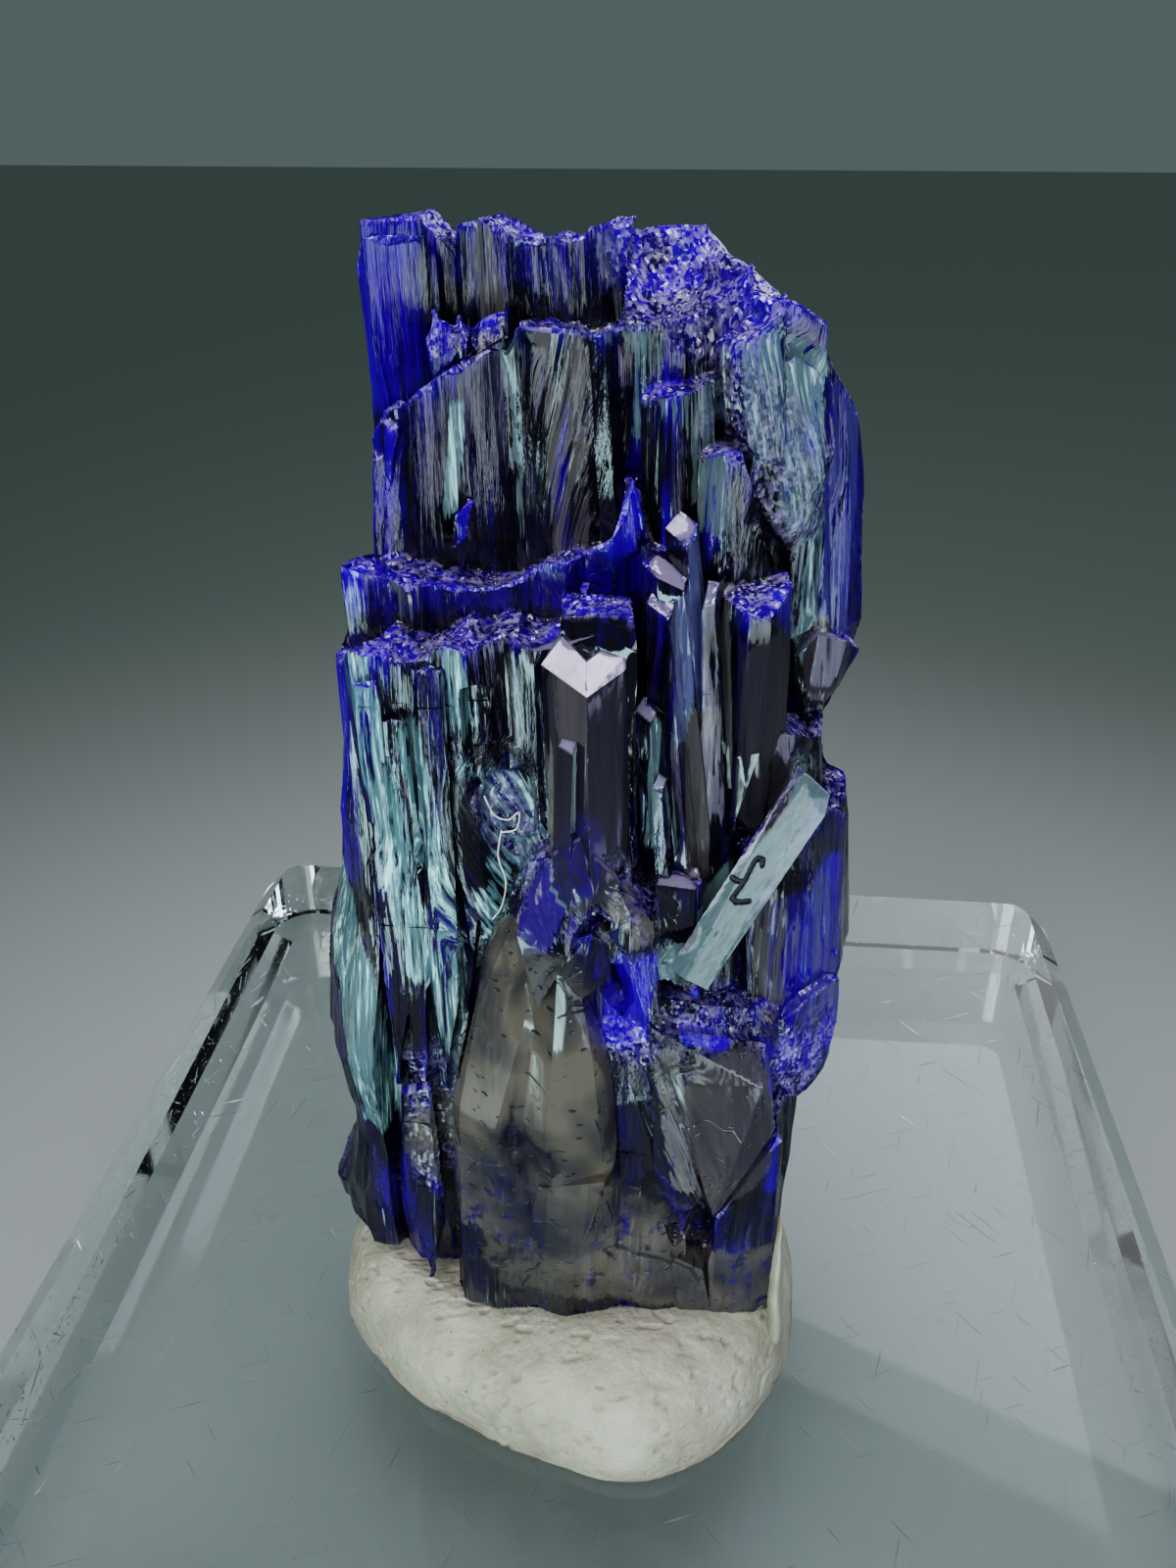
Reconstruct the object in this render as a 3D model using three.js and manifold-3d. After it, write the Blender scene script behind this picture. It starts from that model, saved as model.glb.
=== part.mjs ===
// Azurite crystal cluster, pressed into a lump of white mineral tack on a clear acrylic display block.
// Units are millimetres and +Z is up. The origin is the middle of the block's underside.

import * as THREE from "three";
import { ConvexGeometry } from "three/addons/geometries/ConvexGeometry.js";
import { mergeVertices } from "three/addons/utils/BufferGeometryUtils.js";
import Module from "manifold-3d";

const wasm = await Module();
wasm.setup();

// Display block
const BLOCK_SIDE = 32;
const BLOCK_HEIGHT = 7.5;
const BLOCK_CORNER_RADIUS = 1.6;
const BLOCK_CHAMFER = 0.8;

// Where the cluster stands on the block, and its turn about the vertical
const CLUSTER_PLACE = [-0.7, -3.0];
const CLUSTER_TURN_DEGREES = 5.7;

// Crystal cluster, measured above the block's top face
const FOOT_HEIGHT = 2.5;
const FOOT_SLOPE = 0.07;
const FOOT_ROUGHNESS = 0.12;
const STRIP_WIDTH = 0.38;
const STRIP_RELIEF = 0.14;
const DEEP_GROOVES = 0.16;
const LEDGE_ROUGHNESS = 0.12;
const SMALLEST_DETAIL = 0.006;
const CORNER_NUDGE = 0.004;

// Tack
const TACK_GAP = 0.3;
const TACK_LIFT = 0.05;
const TACK_HEIGHT = 2.5;
const SOCKET_TOP = 3.4;

// Repeatable random numbers between 0 and 1
function randomSource(seed) {
  let state = seed;
  return () => {
    state = (state + 0x6d2b79f5) | 0;
    let mixed = Math.imul(state ^ (state >>> 15), 1 | state);
    mixed = (mixed + Math.imul(mixed ^ (mixed >>> 7), 61 | mixed)) ^ mixed;
    return ((mixed ^ (mixed >>> 14)) >>> 0) / 4294967296;
  };
}

function mix(a, b, t) {
  return a + (b - a) * t;
}

// A closed three.js geometry as a solid that can be joined and cut
function solidFromGeometry(geometry) {
  const bare = geometry.clone();
  bare.deleteAttribute("normal");
  bare.deleteAttribute("uv");
  const merged = mergeVertices(bare, 1e-5);
  return new wasm.Manifold(new wasm.Mesh({
    numProp: 3,
    vertProperties: new Float32Array(merged.attributes.position.array),
    triVerts: new Uint32Array(merged.index.array),
  }));
}

function geometryFromSolid(solid) {
  const mesh = solid.getMesh();
  const geometry = new THREE.BufferGeometry();
  geometry.setAttribute("position", new THREE.BufferAttribute(mesh.vertProperties, 3));
  geometry.setIndex(new THREE.BufferAttribute(mesh.triVerts, 1));
  geometry.computeVertexNormals();
  return geometry;
}

// A solid from a list of corner points and a list of triangles that point outwards
function solidFromTriangles(points, triangles) {
  const geometry = new THREE.BufferGeometry();
  geometry.setAttribute("position", new THREE.Float32BufferAttribute(points.flat(), 3));
  geometry.setIndex(triangles.flat());
  return solidFromGeometry(geometry);
}

// A convex crystal, given by its corner points. Each corner is moved a few thousandths at random, so that
// no two crystals share a corner or an edge exactly.
const cornerNudge = randomSource(6);
function crystal(corners) {
  const nudged = corners.map((corner) => new THREE.Vector3(
    ...corner.map((value) => value + CORNER_NUDGE * mix(-1, 1, cornerNudge())),
  ));
  return solidFromGeometry(new ConvexGeometry(nudged));
}

// A straight crystal with a flat end. outline: its corners in plan. end: height of the end face at its
// middle, and how much it rises per millimetre to the right and to the back. The outline is carried down
// to its foot, where it is moved by lean and grown by spread.
function prism({ outline, end, foot, lean, spread }) {
  const middle = [0, 1].map((axis) => outline.reduce((sum, p) => sum + p[axis], 0) / outline.length);
  const [height, riseRight, riseBack] = end;
  const corners = [];
  outline.forEach(([x, y]) => {
    const [right, back] = [x - middle[0], y - middle[1]];
    corners.push([x, y, height + riseRight * right + riseBack * back]);
    corners.push([middle[0] + right * spread + lean[0], middle[1] + back * spread + lean[1], foot]);
  });
  return crystal(corners);
}

// A thick sheet: two grids of points, outer and inner, that are sewn together along their borders.
// grid[i][k] runs from left to right in i, seen from outside, and from top to bottom in k.
function thickSheet(outer, inner) {
  const columns = outer.length;
  const rows = outer[0].length;
  const points = [...outer.flat(), ...inner.flat()];
  const front = (i, k) => i * rows + k;
  const back = (i, k) => columns * rows + i * rows + k;
  const triangles = [];
  const quad = (a, b, c, d) => triangles.push([a, b, c], [a, c, d]);
  for (let i = 0; i + 1 < columns; i += 1) {
    for (let k = 0; k + 1 < rows; k += 1) {
      quad(front(i, k), front(i, k + 1), front(i + 1, k + 1), front(i + 1, k));
      quad(back(i, k), back(i + 1, k), back(i + 1, k + 1), back(i, k + 1));
    }
    quad(front(i, 0), front(i + 1, 0), back(i + 1, 0), back(i, 0));
    quad(front(i, rows - 1), back(i, rows - 1), back(i + 1, rows - 1), front(i + 1, rows - 1));
  }
  for (let k = 0; k + 1 < rows; k += 1) {
    quad(front(0, k), back(0, k), back(0, k + 1), front(0, k + 1));
    const last = columns - 1;
    quad(front(last, k), front(last, k + 1), back(last, k + 1), back(last, k));
  }
  return solidFromTriangles(points, triangles);
}

// A row of columnar crystals that ends in one ledge.
// rim: corner points of the ledge's outer edge, left to right as seen from outside.
// core: the point inside the cluster that the ledge runs back towards, as [x, y] at each end.
// levels: going down, [height, shift of the left end, shift of the right end, outward shift].
function terrace({ rim, core, levels, seed, strip = STRIP_WIDTH, relief = STRIP_RELIEF, rise = 0 }) {
  const random = randomSource(seed);
  const line = [];
  rim.slice(1).forEach((end, index) => {
    const start = rim[index];
    const length = Math.hypot(end[0] - start[0], end[1] - start[1]);
    const pieces = Math.max(1, Math.round(length / (strip * mix(0.7, 1.4, random()))));
    for (let piece = 0; piece < pieces; piece += 1) {
      const t = (piece + (piece > 0 ? mix(-0.25, 0.25, random()) : 0)) / pieces;
      line.push([0, 1, 2].map((axis) => mix(start[axis], end[axis], t)));
    }
  });
  line.push(rim[rim.length - 1]);
  const last = line.length - 1;
  const outer = [];
  const inner = [];
  line.forEach((point, i) => {
    const before = line[Math.max(0, i - 1)];
    const after = line[Math.min(last, i + 1)];
    const tangent = new THREE.Vector2(after[0] - before[0], after[1] - before[1]).normalize();
    const outward = [tangent.y, -tangent.x];
    const t = i / last;
    const deep = random() < DEEP_GROOVES ? -2.2 : 1;
    const groove = i === 0 || i === last ? 0 : deep * relief * mix(-1, 1, random());
    const atHeight = (z, shiftLeft, shiftRight, push) => [
      point[0] + mix(shiftLeft[0], shiftRight[0], t) + outward[0] * (push + groove),
      point[1] + mix(shiftLeft[1], shiftRight[1], t) + outward[1] * (push + groove),
      z,
    ];
    const height = point[2] + LEDGE_ROUGHNESS * mix(-1, 1, random());
    const behind = [mix(core[0][0], core[1][0], t), mix(core[0][1], core[1][1], t)];
    const onLedge = mix(0.15, 0.55, random());
    const column = [
      [mix(point[0], behind[0], onLedge), mix(point[1], behind[1], onLedge),
        height + rise * onLedge + 1.5 * LEDGE_ROUGHNESS * mix(-1, 0.6, random())],
      atHeight(height, [0, 0], [0, 0], 0),
    ];
    levels.forEach(([z, shiftLeft, shiftRight, push]) => {
      column.push(atHeight(z, shiftLeft, shiftRight, push + 0.05 * mix(-1, 1, random())));
    });
    outer.push(column);
    inner.push(column.map(([, , z], k) => [...behind, k < 2 ? height + rise - 0.2 * k : z]));
  });
  return thickSheet(outer, inner);
}

// Height that the columns reach down to before the foot is cut
const DEEP = 0.4;

// The rows of columns seen from the front, from the lowest ledge to the highest
const frontTerraces = [
  // Large lower row, with its ledge two thirds of the way up
  {
    rim: [[-4.8, -3.1, 19.3], [-4.5, -3.5, 19.6], [-3.9, -3.6, 19.5], [-3.2, -3.6, 19.4], [-2.9, -3.5, 19.8],
      [-2.3, -3.7, 19.8], [-1.6, -3.5, 19.8], [-1.0, -3.8, 19.8], [-0.4, -3.6, 19.8], [0.1, -3.5, 19.9],
      [0.8, -3.4, 20.1]],
    core: [[-3.6, -0.6], [0.6, -0.6]],
    levels: [
      [15.2, [0.2, 0], [0, 0], 0.05],
      [11.3, [0.5, 0.1], [0.5, 0], 0.25],
      [7.5, [0.5, 0.2], [1.0, 0], 0.35],
      [4.5, [0.4, 0.3], [1.4, 0.2], 0.35],
      [DEEP, [0.4, 0.5], [1.5, 0.4], 0.2],
    ],
    seed: 11,
  },
  // Second row
  {
    rim: [[-4.9, -1.2, 20.5], [-4.8, -1.8, 20.7], [-4.4, -1.9, 20.5], [-3.5, -2.0, 20.4], [-2.8, -1.9, 20.3],
      [-1.8, -1.9, 20.4], [-0.9, -1.9, 20.8], [-0.4, -2.0, 21.0], [0.0, -1.9, 21.1], [0.5, -1.9, 21.4],
      [0.9, -1.8, 22.3], [1.3, -1.9, 21.1], [1.7, -1.9, 20.9]],
    core: [[-3.6, 0.8], [1.7, 0.8]],
    levels: [
      [17.0, [0, 0], [0.2, 0], 0],
      [10.0, [0, 0], [0.9, 0], 0],
    ],
    seed: 23,
    rise: -0.35,
  },
  // Third row, the broad wall under the top
  {
    rim: [[-4.1, -0.2, 23.4], [-3.5, -0.4, 23.7], [-3.0, -0.4, 23.9], [-2.3, -0.3, 24.3], [-1.6, -0.2, 24.6],
      [-1.4, -0.1, 24.9], [-0.9, -0.3, 24.9], [0.0, -0.4, 24.9], [0.6, -0.4, 25.0], [1.3, -0.3, 25.0],
      [2.2, -0.3, 25.3], [2.9, -0.3, 25.7], [3.2, 0.0, 26.0]],
    core: [[-3.0, 1.6], [2.4, 1.6]],
    levels: [
      [22.2, [0, 0], [0.3, 0], 0],
      [20.4, [-0.1, -0.1], [0.6, 0], 0],
      [17.0, [-0.1, -0.2], [0.6, 0], 0],
    ],
    seed: 37,
    rise: -0.1,
  },
  // Top row
  {
    rim: [[-4.4, 0.9, 26.8], [-3.9, 1.0, 26.8], [-3.3, 1.0, 26.8], [-3.0, 1.1, 26.6], [-2.7, 1.2, 26.4],
      [-2.5, 1.0, 26.6], [-1.8, 1.0, 26.7], [-1.4, 1.1, 26.5], [-0.8, 1.0, 26.4], [-0.3, 1.0, 26.5],
      [0.3, 1.1, 26.6], [0.9, 1.4, 26.7]],
    core: [[-3.8, 2.5], [1.0, 2.5]],
    levels: [
      [24.6, [0.1, 0], [0, 0], 0],
      [23.2, [0.3, 0], [0, 0], 0],
      [20.0, [0.1, 0], [0, 0], 0],
    ],
    seed: 41,
  },
];

// The left flank
const leftTerraces = [
  // Smooth bulging column at the front left corner, which runs down to the foot
  {
    rim: [[-5.0, -1.2, 19.1], [-5.1, -1.9, 19.0], [-5.0, -2.6, 19.1], [-4.7, -3.1, 19.2], [-4.3, -3.3, 19.2]],
    core: [[-3.4, -0.6], [-3.2, -0.8]],
    levels: [
      [17.1, [-0.1, 0], [0, 0], 0.05],
      [15.5, [-0.2, 0], [0, 0], 0.15],
      [13.7, [-0.3, 0], [0, 0], 0.2],
      [12.1, [-0.7, 0], [-0.1, 0], 0.3],
      [10.7, [-0.9, 0], [-0.3, 0], 0.3],
      [9.1, [-1.0, 0], [-0.5, 0], 0.3],
      [8.3, [-0.7, 0], [-0.5, 0.1], 0.3],
      [7.1, [-0.3, 0.1], [-0.5, 0.2], 0.25],
      [6.3, [-0.4, 0.2], [-0.4, 0.3], 0.3],
      [4.5, [-1.0, 0.2], [-0.4, 0.4], 0.4],
      [3.6, [-1.3, 0.2], [-0.4, 0.5], 0.4],
      [DEEP, [-0.9, 0.4], [-0.2, 0.6], 0.3],
    ],
    seed: 53,
    strip: 0.55,
    relief: 0.05,
  },
  // Middle of the left flank
  {
    rim: [[-4.6, 2.4, 17.2], [-4.9, 1.4, 17.9], [-5.2, 0.4, 18.4], [-5.0, -0.6, 18.2], [-5.1, -1.3, 18.8]],
    core: [[-2.6, 1.6], [-2.6, -0.8]],
    levels: [
      [14.0, [-0.2, 0], [-0.2, 0], 0.15],
      [10.0, [-0.4, 0.1], [-0.7, 0], 0.3],
      [6.5, [-0.2, 0.1], [-0.5, 0], 0.1],
      [4.0, [-0.4, 0], [-0.9, 0], 0.2],
      [DEEP, [-0.1, 0], [-0.6, 0], 0],
    ],
    seed: 59,
  },
  // Upper left flank
  {
    rim: [[-3.9, 2.6, 24.8], [-4.3, 1.9, 25.2], [-4.4, 1.3, 25.6], [-4.4, 0.9, 26.5]],
    core: [[-2.6, 1.8], [-2.6, 1.2]],
    levels: [
      [23.4, [0, 0], [0.1, 0], 0],
      [17.0, [-0.2, 0], [0.1, -0.2], 0],
    ],
    seed: 61,
  },
  {
    rim: [[-4.4, 1.6, 21.2], [-4.5, 0.8, 21.6], [-4.3, 0.1, 22.6], [-4.3, -0.4, 22.4]],
    core: [[-2.6, 1.4], [-2.6, 0]],
    levels: [
      [20.0, [-0.1, 0], [0, -0.3], 0.1],
      [15.0, [-0.3, 0], [-0.2, -0.6], 0.1],
    ],
    seed: 67,
  },
];

// The right flank
const rightTerraces = [
  // Shoulder that falls from the top to the right, and the columns under it
  {
    rim: [[3.4, -0.4, 25.5], [4.0, -0.3, 25.4], [4.6, -0.1, 25.0], [4.8, 0.1, 24.4], [5.2, 0.4, 23.7],
      [5.6, 0.8, 23.0], [5.7, 1.6, 22.8], [5.3, 2.4, 23.2]],
    core: [[2.65, 0.85], [3.4, 1.7]],
    levels: [
      [21.4, [0.3, 0], [0.2, 0], 0.1],
      [18.6, [0.6, 0], [0.3, 0], 0.2],
      [17.2, [0.4, 0.3], [0, 0], 0.1],
      [16.4, [0.1, 0.6], [-0.4, 0], -0.2],
    ],
    seed: 71,
    strip: 0.55,
    rise: 0.3,
  },
  // Lower columns on the right
  {
    rim: [[3.4, -2.9, 14.9], [4.2, -2.7, 14.8], [4.9, -2.4, 14.9], [5.3, -2.1, 15.4], [5.8, -1.5, 14.9],
      [6.0, -0.6, 14.4], [6.0, 0.5, 14.9], [5.6, 1.6, 15.2], [5.0, 2.4, 14.6]],
    core: [[2.6, -0.4], [3.4, 1.4]],
    levels: [
      [12.6, [0.1, 0], [0.2, 0], 0.1],
      [10.7, [0.2, 0], [0.2, 0], 0.15],
      [8.6, [0.1, 0], [0.2, 0], -0.1],
      [6.0, [0, 0], [0.1, 0], -0.5],
      [DEEP, [0, 0], [0, 0], -0.7],
    ],
    seed: 73,
    strip: 0.55,
  },
];

// The back
const backTerraces = [
  {
    rim: [[5.2, 2.3, 23.0], [4.2, 2.8, 23.8], [3.2, 3.0, 24.4], [2.8, 2.7, 25.1], [2.0, 2.9, 25.4],
      [1.4, 2.9, 24.6], [0.8, 3.0, 24.9]],
    core: [[3.6, 1.2], [1.0, 1.2]],
    levels: [
      [20.0, [0.1, 0], [0, 0], 0.1],
      [12.0, [0.2, 0], [-0.1, 0], 0.1],
    ],
    seed: 83,
  },
  {
    rim: [[1.2, 2.6, 25.9], [0.4, 2.7, 26.2], [-0.4, 2.6, 25.6], [-1.2, 2.8, 25.2], [-1.8, 2.9, 24.4],
      [-3.0, 2.8, 24.8], [-4.0, 2.4, 24.2]],
    core: [[0.8, 1.6], [-3.2, 1.4]],
    levels: [
      [20.0, [0, 0], [-0.2, 0], 0.05],
      [12.0, [0, 0], [-0.4, 0], 0.1],
      [DEEP, [0, 0], [-0.6, 0], 0],
    ],
    seed: 85,
  },
  {
    rim: [[5.3, 2.1, 19.0], [4.6, 2.9, 19.6], [3.8, 3.3, 20.4], [3.2, 3.2, 19.2], [2.4, 3.3, 18.6]],
    core: [[3.8, 1.0], [2.4, 1.0]],
    levels: [
      [15.0, [0.1, 0], [-0.1, 0], 0.1],
      [8.0, [0, 0], [0, 0], 0],
    ],
    seed: 87,
  },
  {
    rim: [[5.4, 2.0, 13.6], [4.6, 3.0, 14.2], [3.6, 3.6, 15.0], [3.0, 3.5, 14.1], [2.2, 3.7, 13.2],
      [1.4, 3.5, 15.2], [0.2, 3.3, 14.8]],
    core: [[3.6, 0.8], [0.4, 0.8]],
    levels: [
      [9.0, [0.2, 0], [-0.3, 0], 0.1],
      [4.0, [-0.2, 0], [-0.5, 0], -0.2],
      [DEEP, [-0.6, 0], [-0.6, 0], -0.5],
    ],
    seed: 89,
  },
  {
    rim: [[1.0, 3.1, 17.4], [0.2, 3.4, 17.9], [-0.8, 3.3, 16.6]],
    core: [[0.8, 1.2], [-0.8, 1.2]],
    levels: [
      [12.0, [0, 0], [0, 0], 0.1],
      [6.0, [0, 0], [0, 0], 0],
    ],
    seed: 91,
  },
  {
    rim: [[-0.6, 3.2, 19.6], [-1.4, 3.5, 20.4], [-2.4, 3.4, 19.8], [-3.2, 3.3, 18.4], [-4.2, 2.8, 18.8],
      [-4.7, 2.0, 18.0]],
    core: [[-1.0, 1.0], [-3.4, 0.8]],
    levels: [
      [12.0, [0.2, 0], [-0.3, 0], 0.1],
      [5.0, [0.3, 0], [-0.5, 0], -0.1],
      [DEEP, [0.2, 0], [-0.4, 0], -0.4],
    ],
    seed: 97,
  },
  {
    rim: [[-1.8, 3.7, 11.8], [-2.6, 3.9, 12.6], [-3.4, 3.7, 11.6], [-4.2, 3.2, 10.2], [-4.9, 2.4, 10.8]],
    core: [[-1.8, 1.2], [-3.6, 1.0]],
    levels: [
      [7.0, [0.2, 0], [-0.2, 0], 0],
      [DEEP, [0.2, 0], [0, 0], -0.6],
    ],
    seed: 101,
  },
];

// The inside that every row grows from, as outlines at rising heights
const coreOutlines = [
  [DEEP, [[-5.9, -1.6], [-3.0, -3.2], [0.8, -3.9], [4.0, -4.0], [4.9, -2.8], [5.1, 0.5], [4.2, 2.4], [0, 2.7],
    [-4.2, 2.2], [-5.8, 0.4]]],
  [8, [[-5.2, -1.8], [-3.0, -3.3], [0.8, -4.0], [4.0, -3.8], [5.2, -2.4], [5.5, 0.5], [4.6, 2.5], [0, 2.8],
    [-4.3, 2.4], [-5.4, 0.4]]],
  [12, [[-4.9, -1.8], [-3.0, -3.1], [0.6, -2.8], [3.2, -2.4], [4.8, -1.8], [5.5, 0.3], [4.7, 2.4], [0, 2.7],
    [-4.2, 2.3], [-5.1, 0.3]]],
  [16.5, [[-4.7, -1.6], [-3.0, -2.8], [0.6, -2.0], [2.6, -1.7], [4.4, -1.2], [4.8, 0.3], [4.6, 2.3], [0, 2.6],
    [-4.0, 2.2], [-4.8, 0.3]]],
  [19.2, [[-4.4, -0.9], [-3.0, -1.2], [0.4, -1.2], [2.4, -1.0], [4.0, -0.4], [5.0, 0.5], [4.6, 2.2], [0, 2.5],
    [-3.8, 2.2], [-4.4, 0.3]]],
  [19.8, [[-3.8, 0.1], [-2.4, 0.2], [0.2, 0.2], [2.2, 0.2], [4.0, 0.2], [4.9, 0.6], [4.5, 2.2], [0, 2.5],
    [-3.6, 2.2], [-3.9, 0.9]]],
  [23, [[-3.8, 0.3], [-2.4, 0.4], [0.2, 0.4], [2.2, 0.4], [3.6, 0.3], [4.6, 0.9], [4.2, 2.2], [0, 2.5],
    [-3.6, 2.2], [-3.9, 0.9]]],
];

function coreSolid() {
  const parts = [];
  coreOutlines.slice(1).forEach(([top, upper], index) => {
    const [bottom, lower] = coreOutlines[index];
    parts.push(crystal([...upper.map((p) => [...p, top]), ...lower.map((p) => [...p, bottom])]));
  });
  return parts.reduce((sum, part) => sum.add(part));
}

// Broken, dished surface at the top right, between the third row's edge and the back edge
function brokenTop() {
  const rows = [
    [[0.6, -0.2, 24.9], [1.4, -0.2, 24.9], [2.2, -0.2, 25.2], [2.9, -0.2, 25.6], [3.4, -0.2, 25.5]],
    [[0.7, 0.6, 25.2], [1.4, 0.7, 25.0], [2.2, 0.7, 25.2], [3.0, 0.6, 25.7], [3.9, 0.5, 25.4]],
    [[0.8, 1.4, 25.9], [1.5, 1.5, 25.5], [2.3, 1.5, 25.6], [3.1, 1.4, 25.8], [4.2, 1.3, 25.2]],
    [[0.9, 2.1, 26.5], [1.6, 2.2, 26.6], [2.4, 2.2, 26.6], [3.0, 2.1, 26.1], [4.3, 2.0, 25.0]],
    [[0.9, 2.6, 26.4], [1.6, 2.8, 26.5], [2.5, 2.8, 26.4], [3.1, 2.7, 25.9], [4.2, 2.6, 24.4]],
  ];
  const outer = rows[0].map((_, i) => rows.map((row) => row[row.length - 1 - i]));
  const inner = outer.map((column) => column.map(([x, y]) => [x, y, 21.5]));
  return thickSheet(outer, inner);
}

// Blocks of the upper right, stepped one in front of the other
const upperRightBlocks = [
  // Block whose front edge stands in the middle, a dark face left of it and a bright one right
  [[1.0, -0.8, 23.7], [1.7, -1.4, 23.9], [2.5, -0.8, 24.1], [1.2, 0.4, 24.0], [2.6, 0.4, 24.2],
    [1.2, -0.8, 19.6], [1.9, -1.5, 19.4], [2.8, -0.8, 19.4], [2.8, 0.4, 19.4], [1.2, 0.4, 19.4]],
  // Lower block with a slanted cut across its right shoulder
  [[2.1, -1.4, 22.7], [2.6, -1.8, 23.0], [3.0, -1.7, 22.9], [3.1, -1.5, 21.9], [3.7, -1.5, 20.7],
    [3.9, -1.2, 20.2], [2.2, -1.6, 19.6], [3.0, -1.9, 19.6], [3.9, -1.3, 19.6], [2.3, 0.2, 22.8],
    [3.1, 0.2, 22.8], [3.9, 0.2, 20.4], [2.2, 0.2, 19.6], [3.9, 0.2, 19.6]],
  // Striated block at the right of the third row
  [[2.4, -0.7, 24.8], [2.8, -1.0, 24.8], [3.3, -1.0, 24.9], [3.8, -0.7, 25.4], [2.7, -0.9, 23.3],
    [3.4, -1.1, 22.6], [4.0, -0.9, 22.4], [2.5, 0.4, 24.9], [3.9, 0.4, 25.5], [2.6, 0.4, 22.0],
    [4.1, 0.4, 22.0]],
  // Rough slab that slants down to the right of it
  [[3.3, -0.9, 23.6], [4.0, -0.6, 24.5], [4.8, -0.3, 24.0], [5.0, -0.4, 22.6], [4.4, -0.9, 21.5],
    [3.7, -1.1, 21.3], [3.2, -1.1, 22.2], [3.4, 0.6, 24.0], [4.9, 0.6, 24.0], [3.6, 0.6, 20.4],
    [5.0, 0.6, 20.4], [4.3, -0.9, 20.4]],
  [[3.9, -0.8, 21.7], [4.5, -0.8, 21.6], [4.9, -0.4, 21.4], [4.2, -1.0, 20.2], [4.9, -0.7, 19.0],
    [5.1, -0.2, 18.8], [3.9, 0.4, 21.6], [5.0, 0.4, 21.4], [4.0, 0.2, 18.6], [5.2, 0.4, 18.6],
    [4.2, -0.8, 18.6]],
  // Dark broken facet under the shoulder
  [[4.4, -0.9, 18.3], [4.9, -0.9, 18.9], [5.6, -0.6, 18.6], [6.0, -0.1, 18.2], [5.8, -0.3, 17.9],
    [5.3, -0.9, 17.3], [5.1, -1.0, 16.8], [4.7, -1.1, 17.1], [4.4, 0.6, 18.6], [5.8, 0.8, 18.4],
    [5.0, 0.6, 16.4], [4.4, 0.4, 16.4]],
];

// Blocks of the middle and lower right
const lowerRightBlocks = [
  // Square block with a plain right face and a rough corner on its top
  [[2.6, -2.3, 20.3], [3.1, -3.0, 20.1], [3.6, -2.9, 20.0], [4.1, -2.1, 20.4], [3.2, -1.0, 20.4],
    [4.1, -1.0, 20.4], [2.7, -2.4, 15.6], [3.3, -3.1, 15.4], [4.2, -2.3, 15.8], [4.3, -1.0, 15.6],
    [2.7, -1.0, 15.6]],
  // Rounded nodules under it
  [[3.0, -2.9, 17.0], [3.5, -3.1, 17.2], [3.8, -2.9, 16.6], [3.7, -3.0, 15.5], [3.0, -3.1, 15.2],
    [3.1, -1.8, 16.8], [3.8, -1.8, 15.0]],
  [[3.8, -2.6, 17.3], [4.4, -2.4, 17.3], [4.8, -1.9, 16.9], [4.6, -2.4, 15.4], [3.8, -2.8, 15.4],
    [4.9, -1.2, 15.2], [3.9, -1.2, 17.4], [4.8, -1.0, 17.0], [3.8, -1.2, 14.6]],
  [[4.5, -2.0, 16.6], [5.0, -1.6, 16.9], [5.2, -0.8, 17.2], [5.3, -1.2, 15.6], [5.2, -1.8, 14.8],
    [4.4, -2.2, 14.6], [5.2, 0.6, 17.0], [5.3, 0.8, 15.0], [4.6, 0.6, 14.6]],
  // Rough knobs on the lower right edge
  [[4.3, -3.3, 10.3], [4.9, -3.2, 10.9], [5.5, -2.8, 11.1], [5.9, -2.2, 10.8], [6.0, -2.2, 9.5],
    [5.7, -2.6, 8.4], [5.3, -2.9, 7.9], [4.7, -3.4, 8.2], [4.2, -3.6, 9.2], [4.4, -1.2, 10.4],
    [5.8, -1.0, 10.4], [5.4, -1.2, 7.6], [4.4, -1.2, 7.6]],
  [[5.2, -2.2, 11.4], [5.9, -1.8, 11.3], [6.2, -1.0, 10.6], [6.1, -0.9, 9.0], [5.7, -1.2, 8.0],
    [5.1, -1.6, 8.2], [5.2, 0.4, 11.0], [5.9, 0.6, 9.4], [5.2, 0.4, 8.0]],
  // Ledge between the right columns and the block below
  [[1.6, -4.0, 11.7], [2.6, -3.9, 11.4], [3.6, -3.5, 11.0], [4.4, -3.1, 10.6], [4.6, -3.5, 9.6],
    [3.6, -4.1, 9.9], [2.2, -4.6, 10.2], [1.4, -4.7, 10.8], [1.6, -2.4, 11.6], [4.4, -2.2, 10.8],
    [4.4, -2.2, 8.6], [1.6, -2.4, 8.6]],
];

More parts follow.
